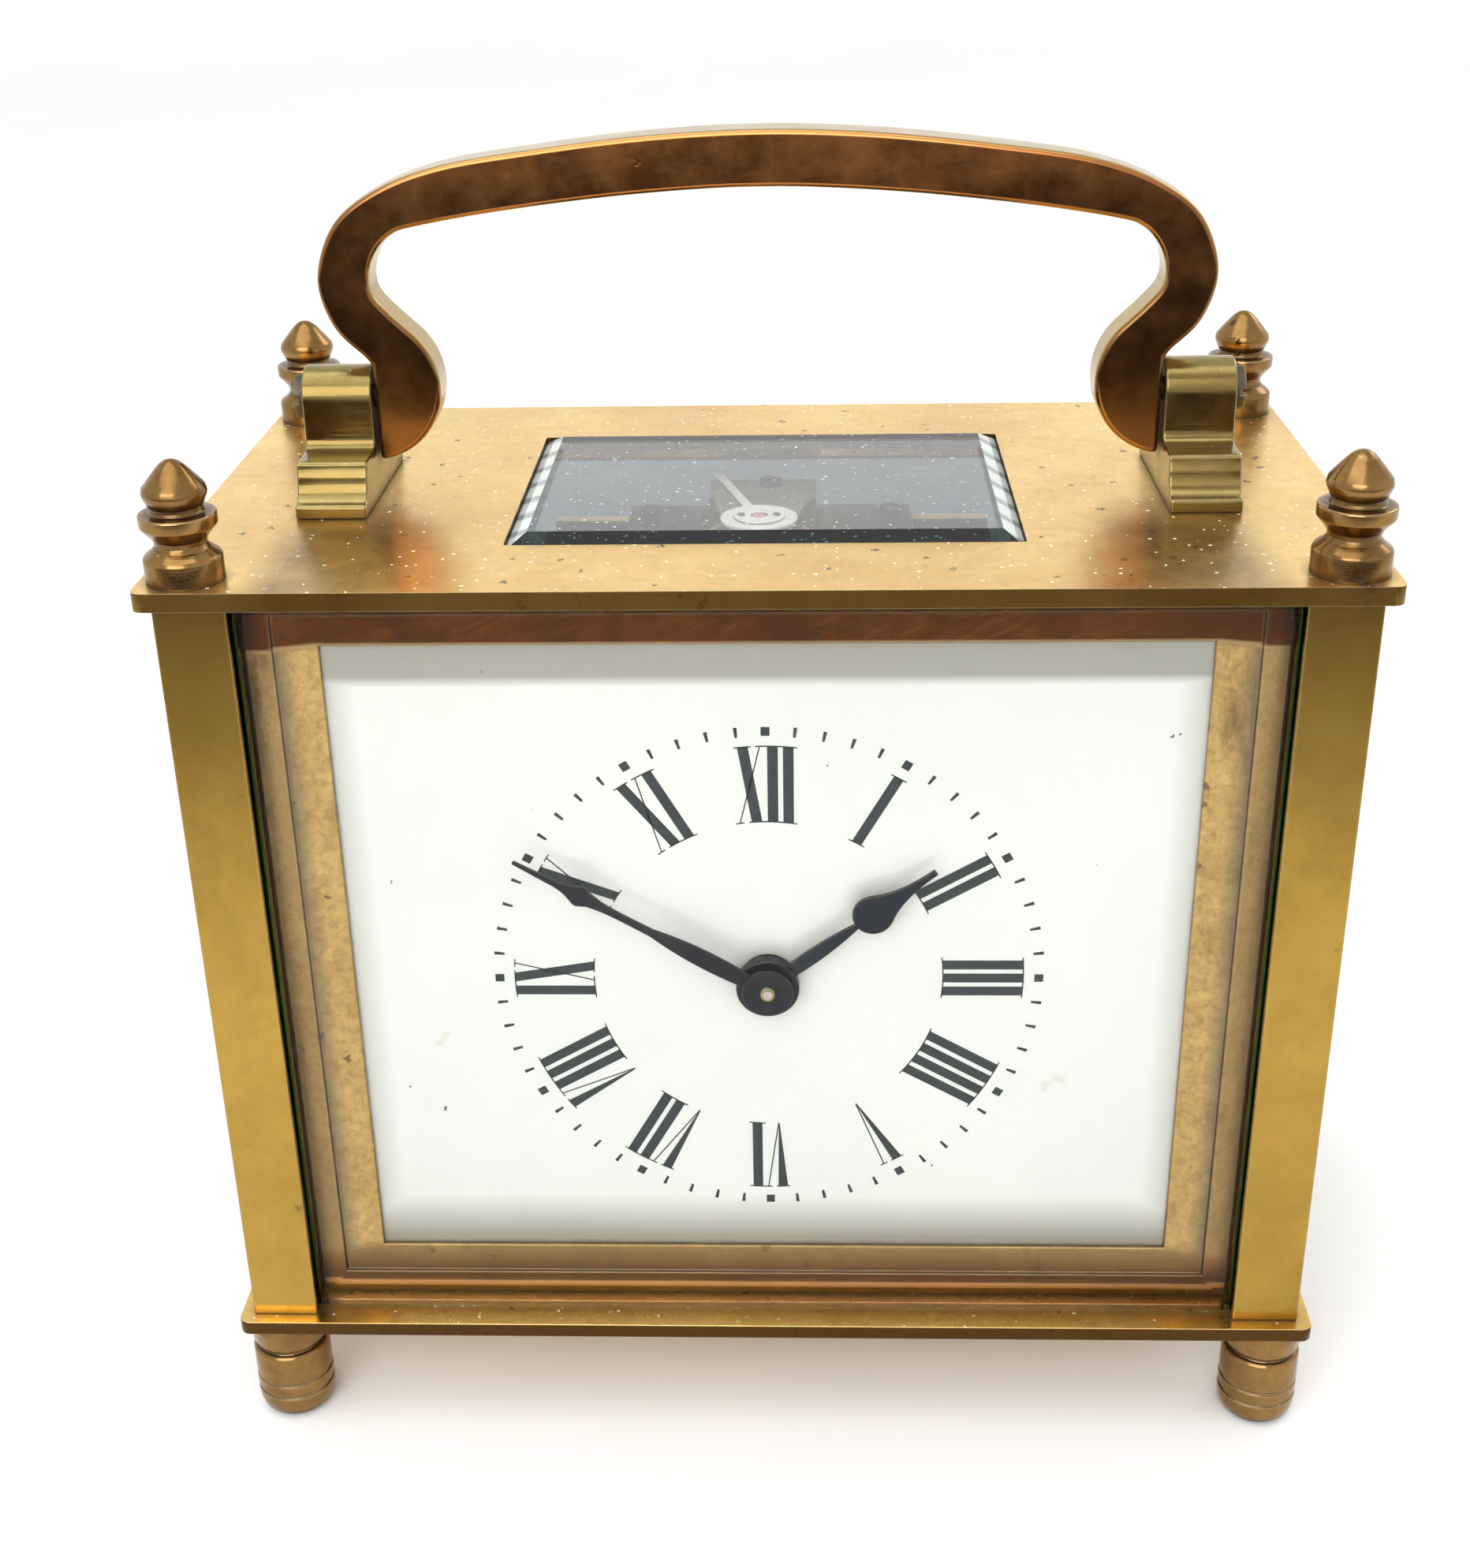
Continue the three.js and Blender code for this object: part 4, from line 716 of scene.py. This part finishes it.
def tidied(points):
    out = []
    for point in points:
        if not out or math.dist(out[-1], point) > SAME_POINT:
            out.append(point)
    return out if math.dist(out[0], out[-1]) > SAME_POINT else out[:-1]


def sawn(name, outline, near, far, lay):
    """A sheet of the outline's shape. lay turns (u, v, thickness) into a point."""
    bm = bmesh.new()
    fronts = [bm.verts.new(Vector(lay(u, v, near)) * MM) for u, v in tidied(outline)]
    backs = [bm.verts.new(Vector(lay(u, v, far)) * MM) for u, v in tidied(outline)]
    bm.faces.new(fronts)
    bm.faces.new(backs[::-1])
    for i in range(len(fronts)):
        j = (i + 1) % len(fronts)
        bm.faces.new((fronts[i], backs[i], backs[j], fronts[j]))
    return as_piece(name, bm)


print("outline helpers ready")

# %% Handle
OUTER = [(0, 37.3), (12, 36.8), (24, 35.5), (33, 34.1), (39.5, 31.8), (44, 28.4), (46.1, 23), (44.9, 18.1),
         (41.9, 14.9)]
INNER = [(38.7, 19.2), (40.4, 21.2), (40.7, 23.2), (39.9, 25.5), (38.2, 27.3), (35.5, 28.2), (26, 29.7),
         (13, 31.1), (0, 31.7)]
FOOT_PLACE, FOOT_ROUND, FLAT_X = (42.0, 11.6), 7.8, 41.2
drop = math.degrees(math.acos((FLAT_X - FOOT_PLACE[0]) / FOOT_ROUND))
outer_lead, inner_lead = (-OUTER[1][0], OUTER[1][1]), (-INNER[-2][0], INNER[-2][1])
half = through([outer_lead] + OUTER)[CURVE_STEPS:]
half += [(FLAT_X, 14.0)] + arc(FOOT_PLACE, FOOT_ROUND, -drop, -230, 26)
half += through(INNER + [inner_lead])[:-CURVE_STEPS - 1]
outline = half + [(-x, z) for x, z in reversed(half[1:-1])]
handle = sawn("handle_sawn", outline, -2.5, 2.5, lambda u, v, t: (u, t, ROOF + v))
break_edges(handle, 0.55 * MM, 3)
settle(handle, "handle", handle_brass, ["handle"])
print("handle outline points", len(outline))

# %% Brackets
BRACKET = [(-10.85, 0), (-10.85, 1.25), (-10.45, 1.5)] + bend((-10.3, 1.5), (-9.1, 1.9), (-8.75, 3.6), 8)
BRACKET += bend((-8.75, 3.75), (-8.35, 4.6), (-8.3, 5.2), 6) + [(-8.15, 5.4), (-4.9, 5.4)]
BRACKET += bend((-4.7, 5.4), (-3.3, 5.4), (-3.3, 6.8), 8) + arc((0, 10.3), 3.3, 180, 90, 14)
bracket_outline = BRACKET + [(-y, z) for y, z in reversed(BRACKET)]
for side, sign in (("left", -1), ("right", 1)):
    bracket = sawn("bracket_moulded_" + side, bracket_outline, sign * 41.45, sign * 48.85,
                   lambda u, v, t: (t, u, ROOF + v))
    break_edges(bracket, 0.3 * MM, 3, 35)
    settle(bracket, "case", bracket_brass, ["bracket_" + side])
    filed("pivot_screw_" + side, dark_brass, 0.1 * MM)
print("brackets", len(bracket_outline), "points each")

# %% [markdown]
# ## Panes
# Each pane is one solid with ground bevels. The flat sides stay flat, because any rounding
# would bend what is seen through them, so these copies only join the split triangles.

# %% Panes
PANES = {"front_glass": front_pane_glass, "left_glass": case_glass, "right_glass": case_glass,
         "rear_door_glass": case_glass, "top_glass": roof_glass}
for pane, glass in PANES.items():
    filed(pane, glass, 0)
filed("top_glass_frame", dark_brass, 0.12 * MM)
print("panes", len(PANES))

# %% [markdown]
# ## Frame round the dial
# Behind the front glass a moulded brass frame hides the edge of the enamel. Its corners were
# never polished, so it keeps a mottled skin.

# %% Dial frame
filed("dial_mask", mask_brass, 0.18 * MM, 2)

# %% [markdown]
# ## Rear door
# The door is a plain brass frame with its own pane, a small turned knob and two steel pins.

# %% Rear door
filed("rear_door", door_brass, 0.25 * MM, 2)
KNOB = [(0, -1.6), (0.8, -1.6), (0.8, 1.55), (1.05, 1.7), (1.3, 1.9), (1.62, 2.3), (1.7, 2.7), (1.62, 3.05),
        (1.35, 3.35), (0.9, 3.5), (0, 3.55)]
knob_low, knob_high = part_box("rear_door_knob")
knob_place = Vector(((knob_low.x + knob_high.x) / 2, 29.3 * MM, (knob_low.z + knob_high.z) / 2))
knob = spun("rear_knob_turned", eased(KNOB, 0.05), knob_place, 48, Matrix.Rotation(-math.pi / 2, 4, "X"))
settle(knob, "rear_door", turned_brass, ["rear_door_knob"])
filed("door_pin_bottom", bright_steel, 0.08 * MM)
filed("door_pin_top", bright_steel, 0.08 * MM)
print("door and knob")

# %% [markdown]
# ## The movement
# Wheels, plates and springs are already cut to shape in the frame. Each gets a filed copy with
# very small bevels and the metal it is made of.

# %% Movement
MOVEMENT = {
    movement_brass: ("centre_wheel", "third_wheel", "contrate_wheel", "barrel", "barrel_cap", "minute_wheel",
                     "hour_wheel", "balance_wheel", "escape_cock"),
    frame_plate_brass: ("front_movement_plate", "back_movement_plate"),
    bright_steel: ("barrel_arbor", "ratchet_wheel", "click", "movement_pillar_lower_left",
                   "movement_pillar_lower_right", "movement_pillar_upper_left", "movement_pillar_upper_right",
                   "escape_wheel", "pallet_lever"),
    blued_steel: ("click_spring", "mainspring"),
    dark_brass: ("platform",),
    cock_silver: ("balance_cock",),
    silvered: ("regulator",),
}
for finish, names in MOVEMENT.items():
    for name in names:
        filed(name, finish, 0.06 * MM, 1)
nodes["hairspring"].data.materials[0] = blued_steel
print("movement nodes", sum(len(names) for names in MOVEMENT.values()))

# %% [markdown]
# The balance turns in a jewel at each end. The upper one sits in a small polished setting that
# is the brightest thing seen through the roof glass.

# %% End stone
STONE = [(0, 0), (0.9, 0), (0.9, 0.3), (0.82, 0.45), (0.6, 0.62), (0.35, 0.72), (0, 0.75)]
stone_low, stone_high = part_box("end_stone")
stone_place = Vector(((stone_low.x + stone_high.x) / 2, (stone_low.y + stone_high.y) / 2, stone_low.z))
stone = spun("end_stone_turned", STONE, stone_place, 40)
settle(stone, "case", jewel_red, ["end_stone"])
print("end stone at", tuple(round(v, 4) for v in stone_place))

# %% [markdown]
# ## Screws
# Slotted screws hold the platform, the cock and the pillars. Each head is a disc with two
# half-round lands on it, and the gap between the lands is the slot.

# %% Screw heads
def screw(name, place, radius, rise, finish, axis=None, turn=0.4):
    bm = bmesh.new()

    def land(points, low, high):
        lower = [bm.verts.new((x, y, low)) for x, y in points]
        upper = [bm.verts.new((x, y, high)) for x, y in points]
        bm.faces.new(lower[::-1])
        bm.faces.new(upper)
        for i in range(len(points)):
            j = (i + 1) % len(points)
            bm.faces.new((lower[i], lower[j], upper[j], upper[i]))

    land(arc((0, 0), radius, 0, 352, 44), 0, rise * 0.55)
    lean = math.degrees(math.asin(0.16))
    for start in (lean, 180 + lean):
        land(arc((0, 0), radius, start, start + 180 - 2 * lean, 22), rise * 0.5, rise)
    bmesh.ops.transform(bm, matrix=Matrix.Translation(Vector(place) * MM) @ (axis or Matrix.Identity(4))
                        @ Matrix.Rotation(turn, 4, "Z") @ Matrix.Scale(MM, 4), verts=bm.verts)
    head = as_piece(name, bm)
    break_edges(head, 0.05 * MM, 1)
    settle(head, "case", finish)


PLATFORM_TOP = 90.9
BACKWARD = Matrix.Rotation(-math.pi / 2, 4, "X")
PLATFORM_SCREWS = [(-14, -18.2), (14, -18.2), (-14, 17.2), (14, 17.2)]
PILLAR_SCREWS = [(-22, 18.2), (22, 18.2), (-22, 84.6), (22, 84.6)]
for count, (x, y) in enumerate(PLATFORM_SCREWS):
    place = (x, y, PLATFORM_TOP)
    screw(f"platform_screw_{count}", place, 1.25, 0.7, blued_steel, turn=0.5 + count)
screw("cock_screw", (0.1, 15.6, PLATFORM_TOP + 3.9), 1.3, 0.6, blued_steel, turn=0.9)
for count, (x, z) in enumerate(PILLAR_SCREWS):
    place = (x, 20.2, z)
    screw(f"pillar_screw_{count}", place, 1.9, 0.8, blued_steel, BACKWARD, 0.3 + 0.8 * count)
screw("click_screw", (-17.5, 21.62, 37.58), 1.05, 0.6, blued_steel, BACKWARD, 1.1)
print("screws", len(PLATFORM_SCREWS) + len(PILLAR_SCREWS) + 2)

# %% [markdown]
# A small silvered end-piece with two screws surrounds the upper balance jewel. The regulator turns
# round it, so it stands a hair above the regulator's disc and belongs to the fixed case.

# %% End-piece
end_piece = spun("end_piece", eased([(0.95, 0), (2.75, 0), (2.75, 0.2), (0.95, 0.2), (0.95, 0)], 0.04),
                 Vector((-1, 2.4, PLATFORM_TOP + 4.34)) * MM, 56)
settle(end_piece, "case", silvered)
for count, x in enumerate((-2.95, 0.95)):
    place = (x, 2.4, PLATFORM_TOP + 4.5)
    screw(f"end_piece_screw_{count}", place, 0.42, 0.2, dark_brass, turn=0.7 * count)
print("end-piece and its screws")

# %% [markdown]
# ## Dial
# The enamel plate is filed like the rest. Its numerals are drawn from the strokes an engraver
# uses: a heavy stem, a hairline, and a fine serif line that follows the circle. Every stroke is
# a thin raised bar a few hundredths of a millimetre high, so it stays crisp from any distance.

# %% Dial plate
filed("dial", [dial_enamel], 0.12 * MM, 2)
DIAL_Z, DIAL_FACE, PAINT = 54.5, -24.6, 0.03
print("dial face at", DIAL_FACE)

# %% Strokes
def bar(bm, loop, clock_angle):
    """One painted stroke. loop holds (across, radius) points, turned to its place on the dial."""
    out = Vector((math.sin(clock_angle), math.cos(clock_angle)))
    across = Vector((math.cos(clock_angle), -math.sin(clock_angle)))
    flat = []
    for u, r in loop:
        flat.append(across * u + out * math.sqrt(max(r * r - u * u, 0)))
    low = [bm.verts.new(Vector((p.x, DIAL_FACE, DIAL_Z + p.y)) * MM) for p in flat]
    high = [bm.verts.new(Vector((p.x, DIAL_FACE - PAINT, DIAL_Z + p.y)) * MM) for p in flat]
    bm.faces.new(low)
    bm.faces.new(high[::-1])
    for i in range(len(low)):
        j = (i + 1) % len(low)
        bm.faces.new((low[i], low[j], high[j], high[i]))


FEET_R, HEAD_R, STEM, HAIR = 18.6, 27.1, 1.08, 0.13


def stroke(bm, angle, foot, head, wide_foot, wide_head):
    loop = [(foot - wide_foot / 2, FEET_R), (foot + wide_foot / 2, FEET_R),
            (head + wide_head / 2, HEAD_R), (head - wide_head / 2, HEAD_R)]
    bar(bm, loop, angle)


def serif(bm, angle, start, end, radius):
    steps = 6
    us = [start + (end - start) * i / steps for i in range(steps + 1)]
    rim = [(u, radius - HAIR / 2) for u in us] + [(u, radius + HAIR / 2) for u in reversed(us)]
    bar(bm, rim, angle)


print("strokes ready, numerals", HEAD_R - FEET_R, "mm high")

# %% Numerals
# each letter: width it takes, then where its stems and hairlines stand at the foot and the head
ADVANCE = {"I": 1.6, "V": 2.75, "X": 3.05}
NUMERALS = ("XII", "I", "II", "III", "IIII", "V", "VI", "VII", "VIII", "IX", "X", "XI")


def numeral(bm, text, angle):
    width = sum(ADVANCE[letter] for letter in text)
    u = -width / 2
    heads, feet = [], []
    for letter in text:
        if letter == "I":
            mid = u + ADVANCE["I"] / 2
            stroke(bm, angle, mid, mid, STEM, STEM)
            heads.append((mid - 0.9, mid + 0.9))
            feet.append((mid - 0.9, mid + 0.9))
        elif letter == "V":
            point = u + 1.15
            stroke(bm, angle, point, u + 0.75, 0.1, STEM)
            stroke(bm, angle, point + 0.05, u + 2.4, HAIR, HAIR)
            heads += [(u - 0.05, u + 1.5), (u + 1.95, u + 2.8)]
        else:
            stroke(bm, angle, u + 2.2, u + 0.8, STEM, STEM)
            stroke(bm, angle, u + 0.45, u + 2.55, HAIR, HAIR)
            heads += [(u - 0.1, u + 1.65), (u + 2.1, u + 3.0)]
            feet += [(u + 0.0, u + 0.9), (u + 1.4, u + 3.1)]
        u += ADVANCE[letter]
    for ends, radius in ((heads, HEAD_R), (feet, FEET_R)):
        for start, end in ends:
            serif(bm, angle, start, end, radius)


bm = bmesh.new()
for hour, text in enumerate(NUMERALS):
    numeral(bm, text, math.radians(hour * 30))
numerals = as_piece("numerals", bm)
settle(numerals, "case", numeral_paint)
print("numerals", len(NUMERALS))

# %% [markdown]
# Outside the numerals runs a ring of minutes: a small square at every fifth and a short dash,
# a little fatter at its outer end, at the others.

# %% Minute ring
RING = 28.75
bm = bmesh.new()
for minute in range(60):
    angle = math.radians(minute * 6)
    if minute % 5 == 0:
        inner_half, outer_half, reach = 0.45, 0.45, 0.48
    else:
        inner_half, outer_half, reach = 0.13, 0.19, 0.55
    bar(bm, [(-inner_half, RING - reach), (inner_half, RING - reach),
             (outer_half, RING + reach), (-outer_half, RING + reach)], angle)
minute_ring = as_piece("minute_ring", bm)
settle(minute_ring, "case", numeral_paint)
print("minute marks", 60)

# %% [markdown]
# ## Hands
# Both hands are cut from thin steel and blackened. Each has a leaf near the hub, a spade or a
# lozenge further out, and a fine tip. They stand on stacked collets that are worn at the rim.
# The outlines are drawn pointing up and turned to the time.

# %% Hand outlines
HOUR_TURN, MINUTE_TURN = math.radians(52), math.radians(-59.4)
hour_side = bend((0.45, 0), (1.25, 6), (0.3, 11.9), 14) + arc((0, 14.0), 2.15, -78, 29, 20)
hour_side += bend((1.9, 15.1), (0.35, 17.3), (0.3, 22.2), 14)
minute_side = bend((0.5, 0), (1.6, 7), (0.45, 14), 16) + bend((0.42, 17), (0.4, 20.0), (0.75, 21.4), 6)
minute_side += bend((1.05, 22.0), (1.38, 22.5), (1.0, 23.1), 6)
minute_side += bend((0.7, 23.8), (0.42, 24.6), (0.36, 25.4), 5)
minute_side += [(0.2, 30.3)]


def hand(node, side, turn, near, far, boss, bore, boss_near, boss_far):
    shape = side + [(-x, r) for x, r in reversed(side)]
    across = Vector((math.cos(turn), 0, -math.sin(turn)))
    out = Vector((math.sin(turn), 0, math.cos(turn)))

    def lay(u, v, t):
        return across * u + out * v + Vector((0, t, DIAL_Z))

    blade = sawn(node + "_cut", shape, near, far, lay)
    break_edges(blade, 0.07 * MM, 2)
    settle(blade, body_of(node), black_steel, [node])
    rise = boss_far - boss_near
    profile = [(bore, 0), (boss, 0), (boss, rise), (bore, rise), (bore, 0)]
    collet = spun(node + "_collet", profile, Vector((0, boss_far, DIAL_Z)) * MM, 56,
                  Matrix.Rotation(math.pi / 2, 4, "X"))
    break_edges(collet, 0.1 * MM, 2)
    settle(collet, body_of(node), black_steel)


hand("hour_hand", hour_side, HOUR_TURN, -26.2, -26.6, 3.35, 1.25, -27.0, -25.7)
hand("minute_hand", minute_side, MINUTE_TURN, -27.3, -27.6, 2.75, 0.78, -27.9, -27.15)
tip = spun("arbor_tip", [(0, 0), (0.73, 0), (0.73, 0.5), (0.62, 0.62), (0.35, 0.68), (0, 0.7)],
           Vector((0, -27.65, DIAL_Z)) * MM, 40, Matrix.Rotation(math.pi / 2, 4, "X"))
settle(tip, "minute_work", silvered)
print("hands at", round(math.degrees(HOUR_TURN)), round(math.degrees(MINUTE_TURN)))

# %% [markdown]
# ## Studio
# The clock stands on a plain pale floor that sweeps up into a wall all round, so no horizon
# cuts behind it. A wide soft light hangs overhead, the strongest one comes from the front left,
# and a small one behind on the right keeps the far edges from going dead.

# %% Floor
bm = bmesh.new()
FLOOR_STEPS, FLAT_RADIUS, SWEEP_RADIUS = 96, 1.3, 0.7
turns = [math.radians(7.5 * k) for k in range(1, 13)]
curve = [(math.sin(a), 1 - math.cos(a)) for a in turns]
SWEEP = [(0, 0), (0.9, 0), (FLAT_RADIUS, 0)]
SWEEP += [(FLAT_RADIUS + SWEEP_RADIUS * u, SWEEP_RADIUS * v) for u, v in curve]
SWEEP += [(2.0, 1.5)]
rings = []
for radius, rise in SWEEP:
    angles = [2 * math.pi * i / FLOOR_STEPS for i in range(FLOOR_STEPS if radius else 1)]
    rings.append([bm.verts.new((radius * math.cos(a), radius * math.sin(a), rise)) for a in angles])
for lower, upper in zip(rings, rings[1:]):
    for i in range(FLOOR_STEPS):
        j = (i + 1) % FLOOR_STEPS
        bm.faces.new(list(dict.fromkeys((lower[i % len(lower)], lower[j % len(lower)], upper[j], upper[i]))))
floor = as_piece("studio_floor", bm)
floor.data.shade_smooth()
floor_paint, tree, paint = fresh("pale_floor")
paper = blendc(tree, band(tree, cloud(tree, 6, 3), 0.3, 0.7), tone(238, 238, 237), tone(235, 235, 235))
paper = blendc(tree, band(tree, height(tree), 0.0, 0.12), paper, tone(253, 253, 253))
join_to(tree, paper, paint, "Base Color")
paint.inputs["Roughness"].default_value = 0.7
paint.inputs["Specular IOR Level"].default_value = 0.2
floor.data.materials.append(floor_paint)
print("floor radius", SWEEP[-1][0])

# %% Lights
def soft_light(name, place, aim_at, width, depth, watts):
    data = bpy.data.lights.new(name, "AREA")
    data.shape = "RECTANGLE"
    data.size, data.size_y, data.energy = width, depth, watts
    lamp = bpy.data.objects.new(name, data)
    lamp.location = place
    direction = Vector(aim_at) - Vector(place)
    lamp.rotation_mode = "QUATERNION"
    lamp.rotation_quaternion = direction.to_track_quat("-Z", "Y")
    bpy.context.scene.collection.objects.link(lamp)
    return lamp


soft_light("overhead", (-0.15, -0.2, 1.05), (0, 0, 0.05), 0.9, 0.9, 4)
soft_light("front_left", (-0.2, -0.85, 0.6), (0, 0, 0.05), 0.8, 0.6, 6)
soft_light("back_right", (0.9, 0.7, 0.8), (0, 0, 0.08), 0.5, 0.5, 2)

world = bpy.data.worlds.new("studio_air")
bpy.context.scene.world = world
world.use_nodes = True
sky = world.node_tree
direction = put(sky, "TexCoord").outputs["Generated"]
rise = put(sky, "SeparateXYZ", {"Vector": direction}).outputs["Z"]
strength = band(sky, rise, 0.0, 0.9, 1.25, 0.95)
sky.links.new(strength, sky.nodes["Background"].inputs["Strength"])
sky.nodes["Background"].inputs["Color"].default_value = (1, 1, 1, 1)
bpy.context.scene.view_settings.view_transform = "Standard"
print("three soft lights")

# %% [markdown]
# Polished fronts mirror the floor in front of them. A dark cloth, called a flag, lies there, so
# the brass goes deep and golden instead of flat white. Only reflections show it, and it darkens
# with distance from the clock.

# %% Dark flag
FLAG_RISE = 0.002


def flag_sheet(name, cells, wide, deep, middle_y):
    bm = bmesh.new()
    bmesh.ops.create_grid(bm, x_segments=cells, y_segments=cells, size=0.5)
    bmesh.ops.transform(bm, matrix=Matrix.Diagonal((wide, deep, 1, 1)), verts=bm.verts)
    bmesh.ops.translate(bm, vec=(0, middle_y, FLAG_RISE), verts=bm.verts)
    return as_piece(name, bm)


flag = flag_sheet("dark_flag", 8, 3.2, 1.6, -0.98)
flag_cloth, tree, cloth = fresh("flag_cloth")
cloth.inputs["Base Color"].default_value = (0.012, 0.01, 0.009, 1)
cloth.inputs["Roughness"].default_value = 0.9
cloth.inputs["Specular IOR Level"].default_value = 0.0
join_to(tree, band(tree, height(tree, "Y"), -0.13, -0.39, 0.0, 0.97), cloth, "Alpha")
flag.data.materials.append(flag_cloth)
flag.visible_camera = False
flag.visible_diffuse = False
flag.visible_shadow = False
flag.visible_transmission = False
print("flag laid")

# %% [markdown]
# A second flag lies behind the clock. Only rays that have gone through the panes see it. It
# gives the inside a dark grey ground, while the floor beyond the clock stays pale.

# %% Flag behind
BACK_FLAG_Y = 0.3
back_flag = flag_sheet("back_flag", 4, 0.5, 0.5, BACK_FLAG_Y)
grey_cloth, tree, cloth = fresh("grey_cloth")
cloth.inputs["Roughness"].default_value = 0.9
weave = band(tree, cloud(tree, 30, 3), 0.3, 0.7)
join_to(tree, blendc(tree, weave, tone(70, 78, 84), tone(80, 88, 94)), cloth, "Base Color")
along = sums(tree, "SUBTRACT", height(tree, "Y"), BACK_FLAG_Y)
along = put(tree, "Math", {0: along}, operation="ABSOLUTE").outputs[0]
feather = times(tree, band(tree, from_middle(tree), 0.24, 0.12), band(tree, along, 0.24, 0.12))
join_to(tree, feather, cloth, "Alpha")
back_flag.data.materials.append(grey_cloth)
back_flag.visible_camera = False
back_flag.visible_diffuse = False
back_flag.visible_glossy = False
back_flag.visible_shadow = False
print("second flag laid")
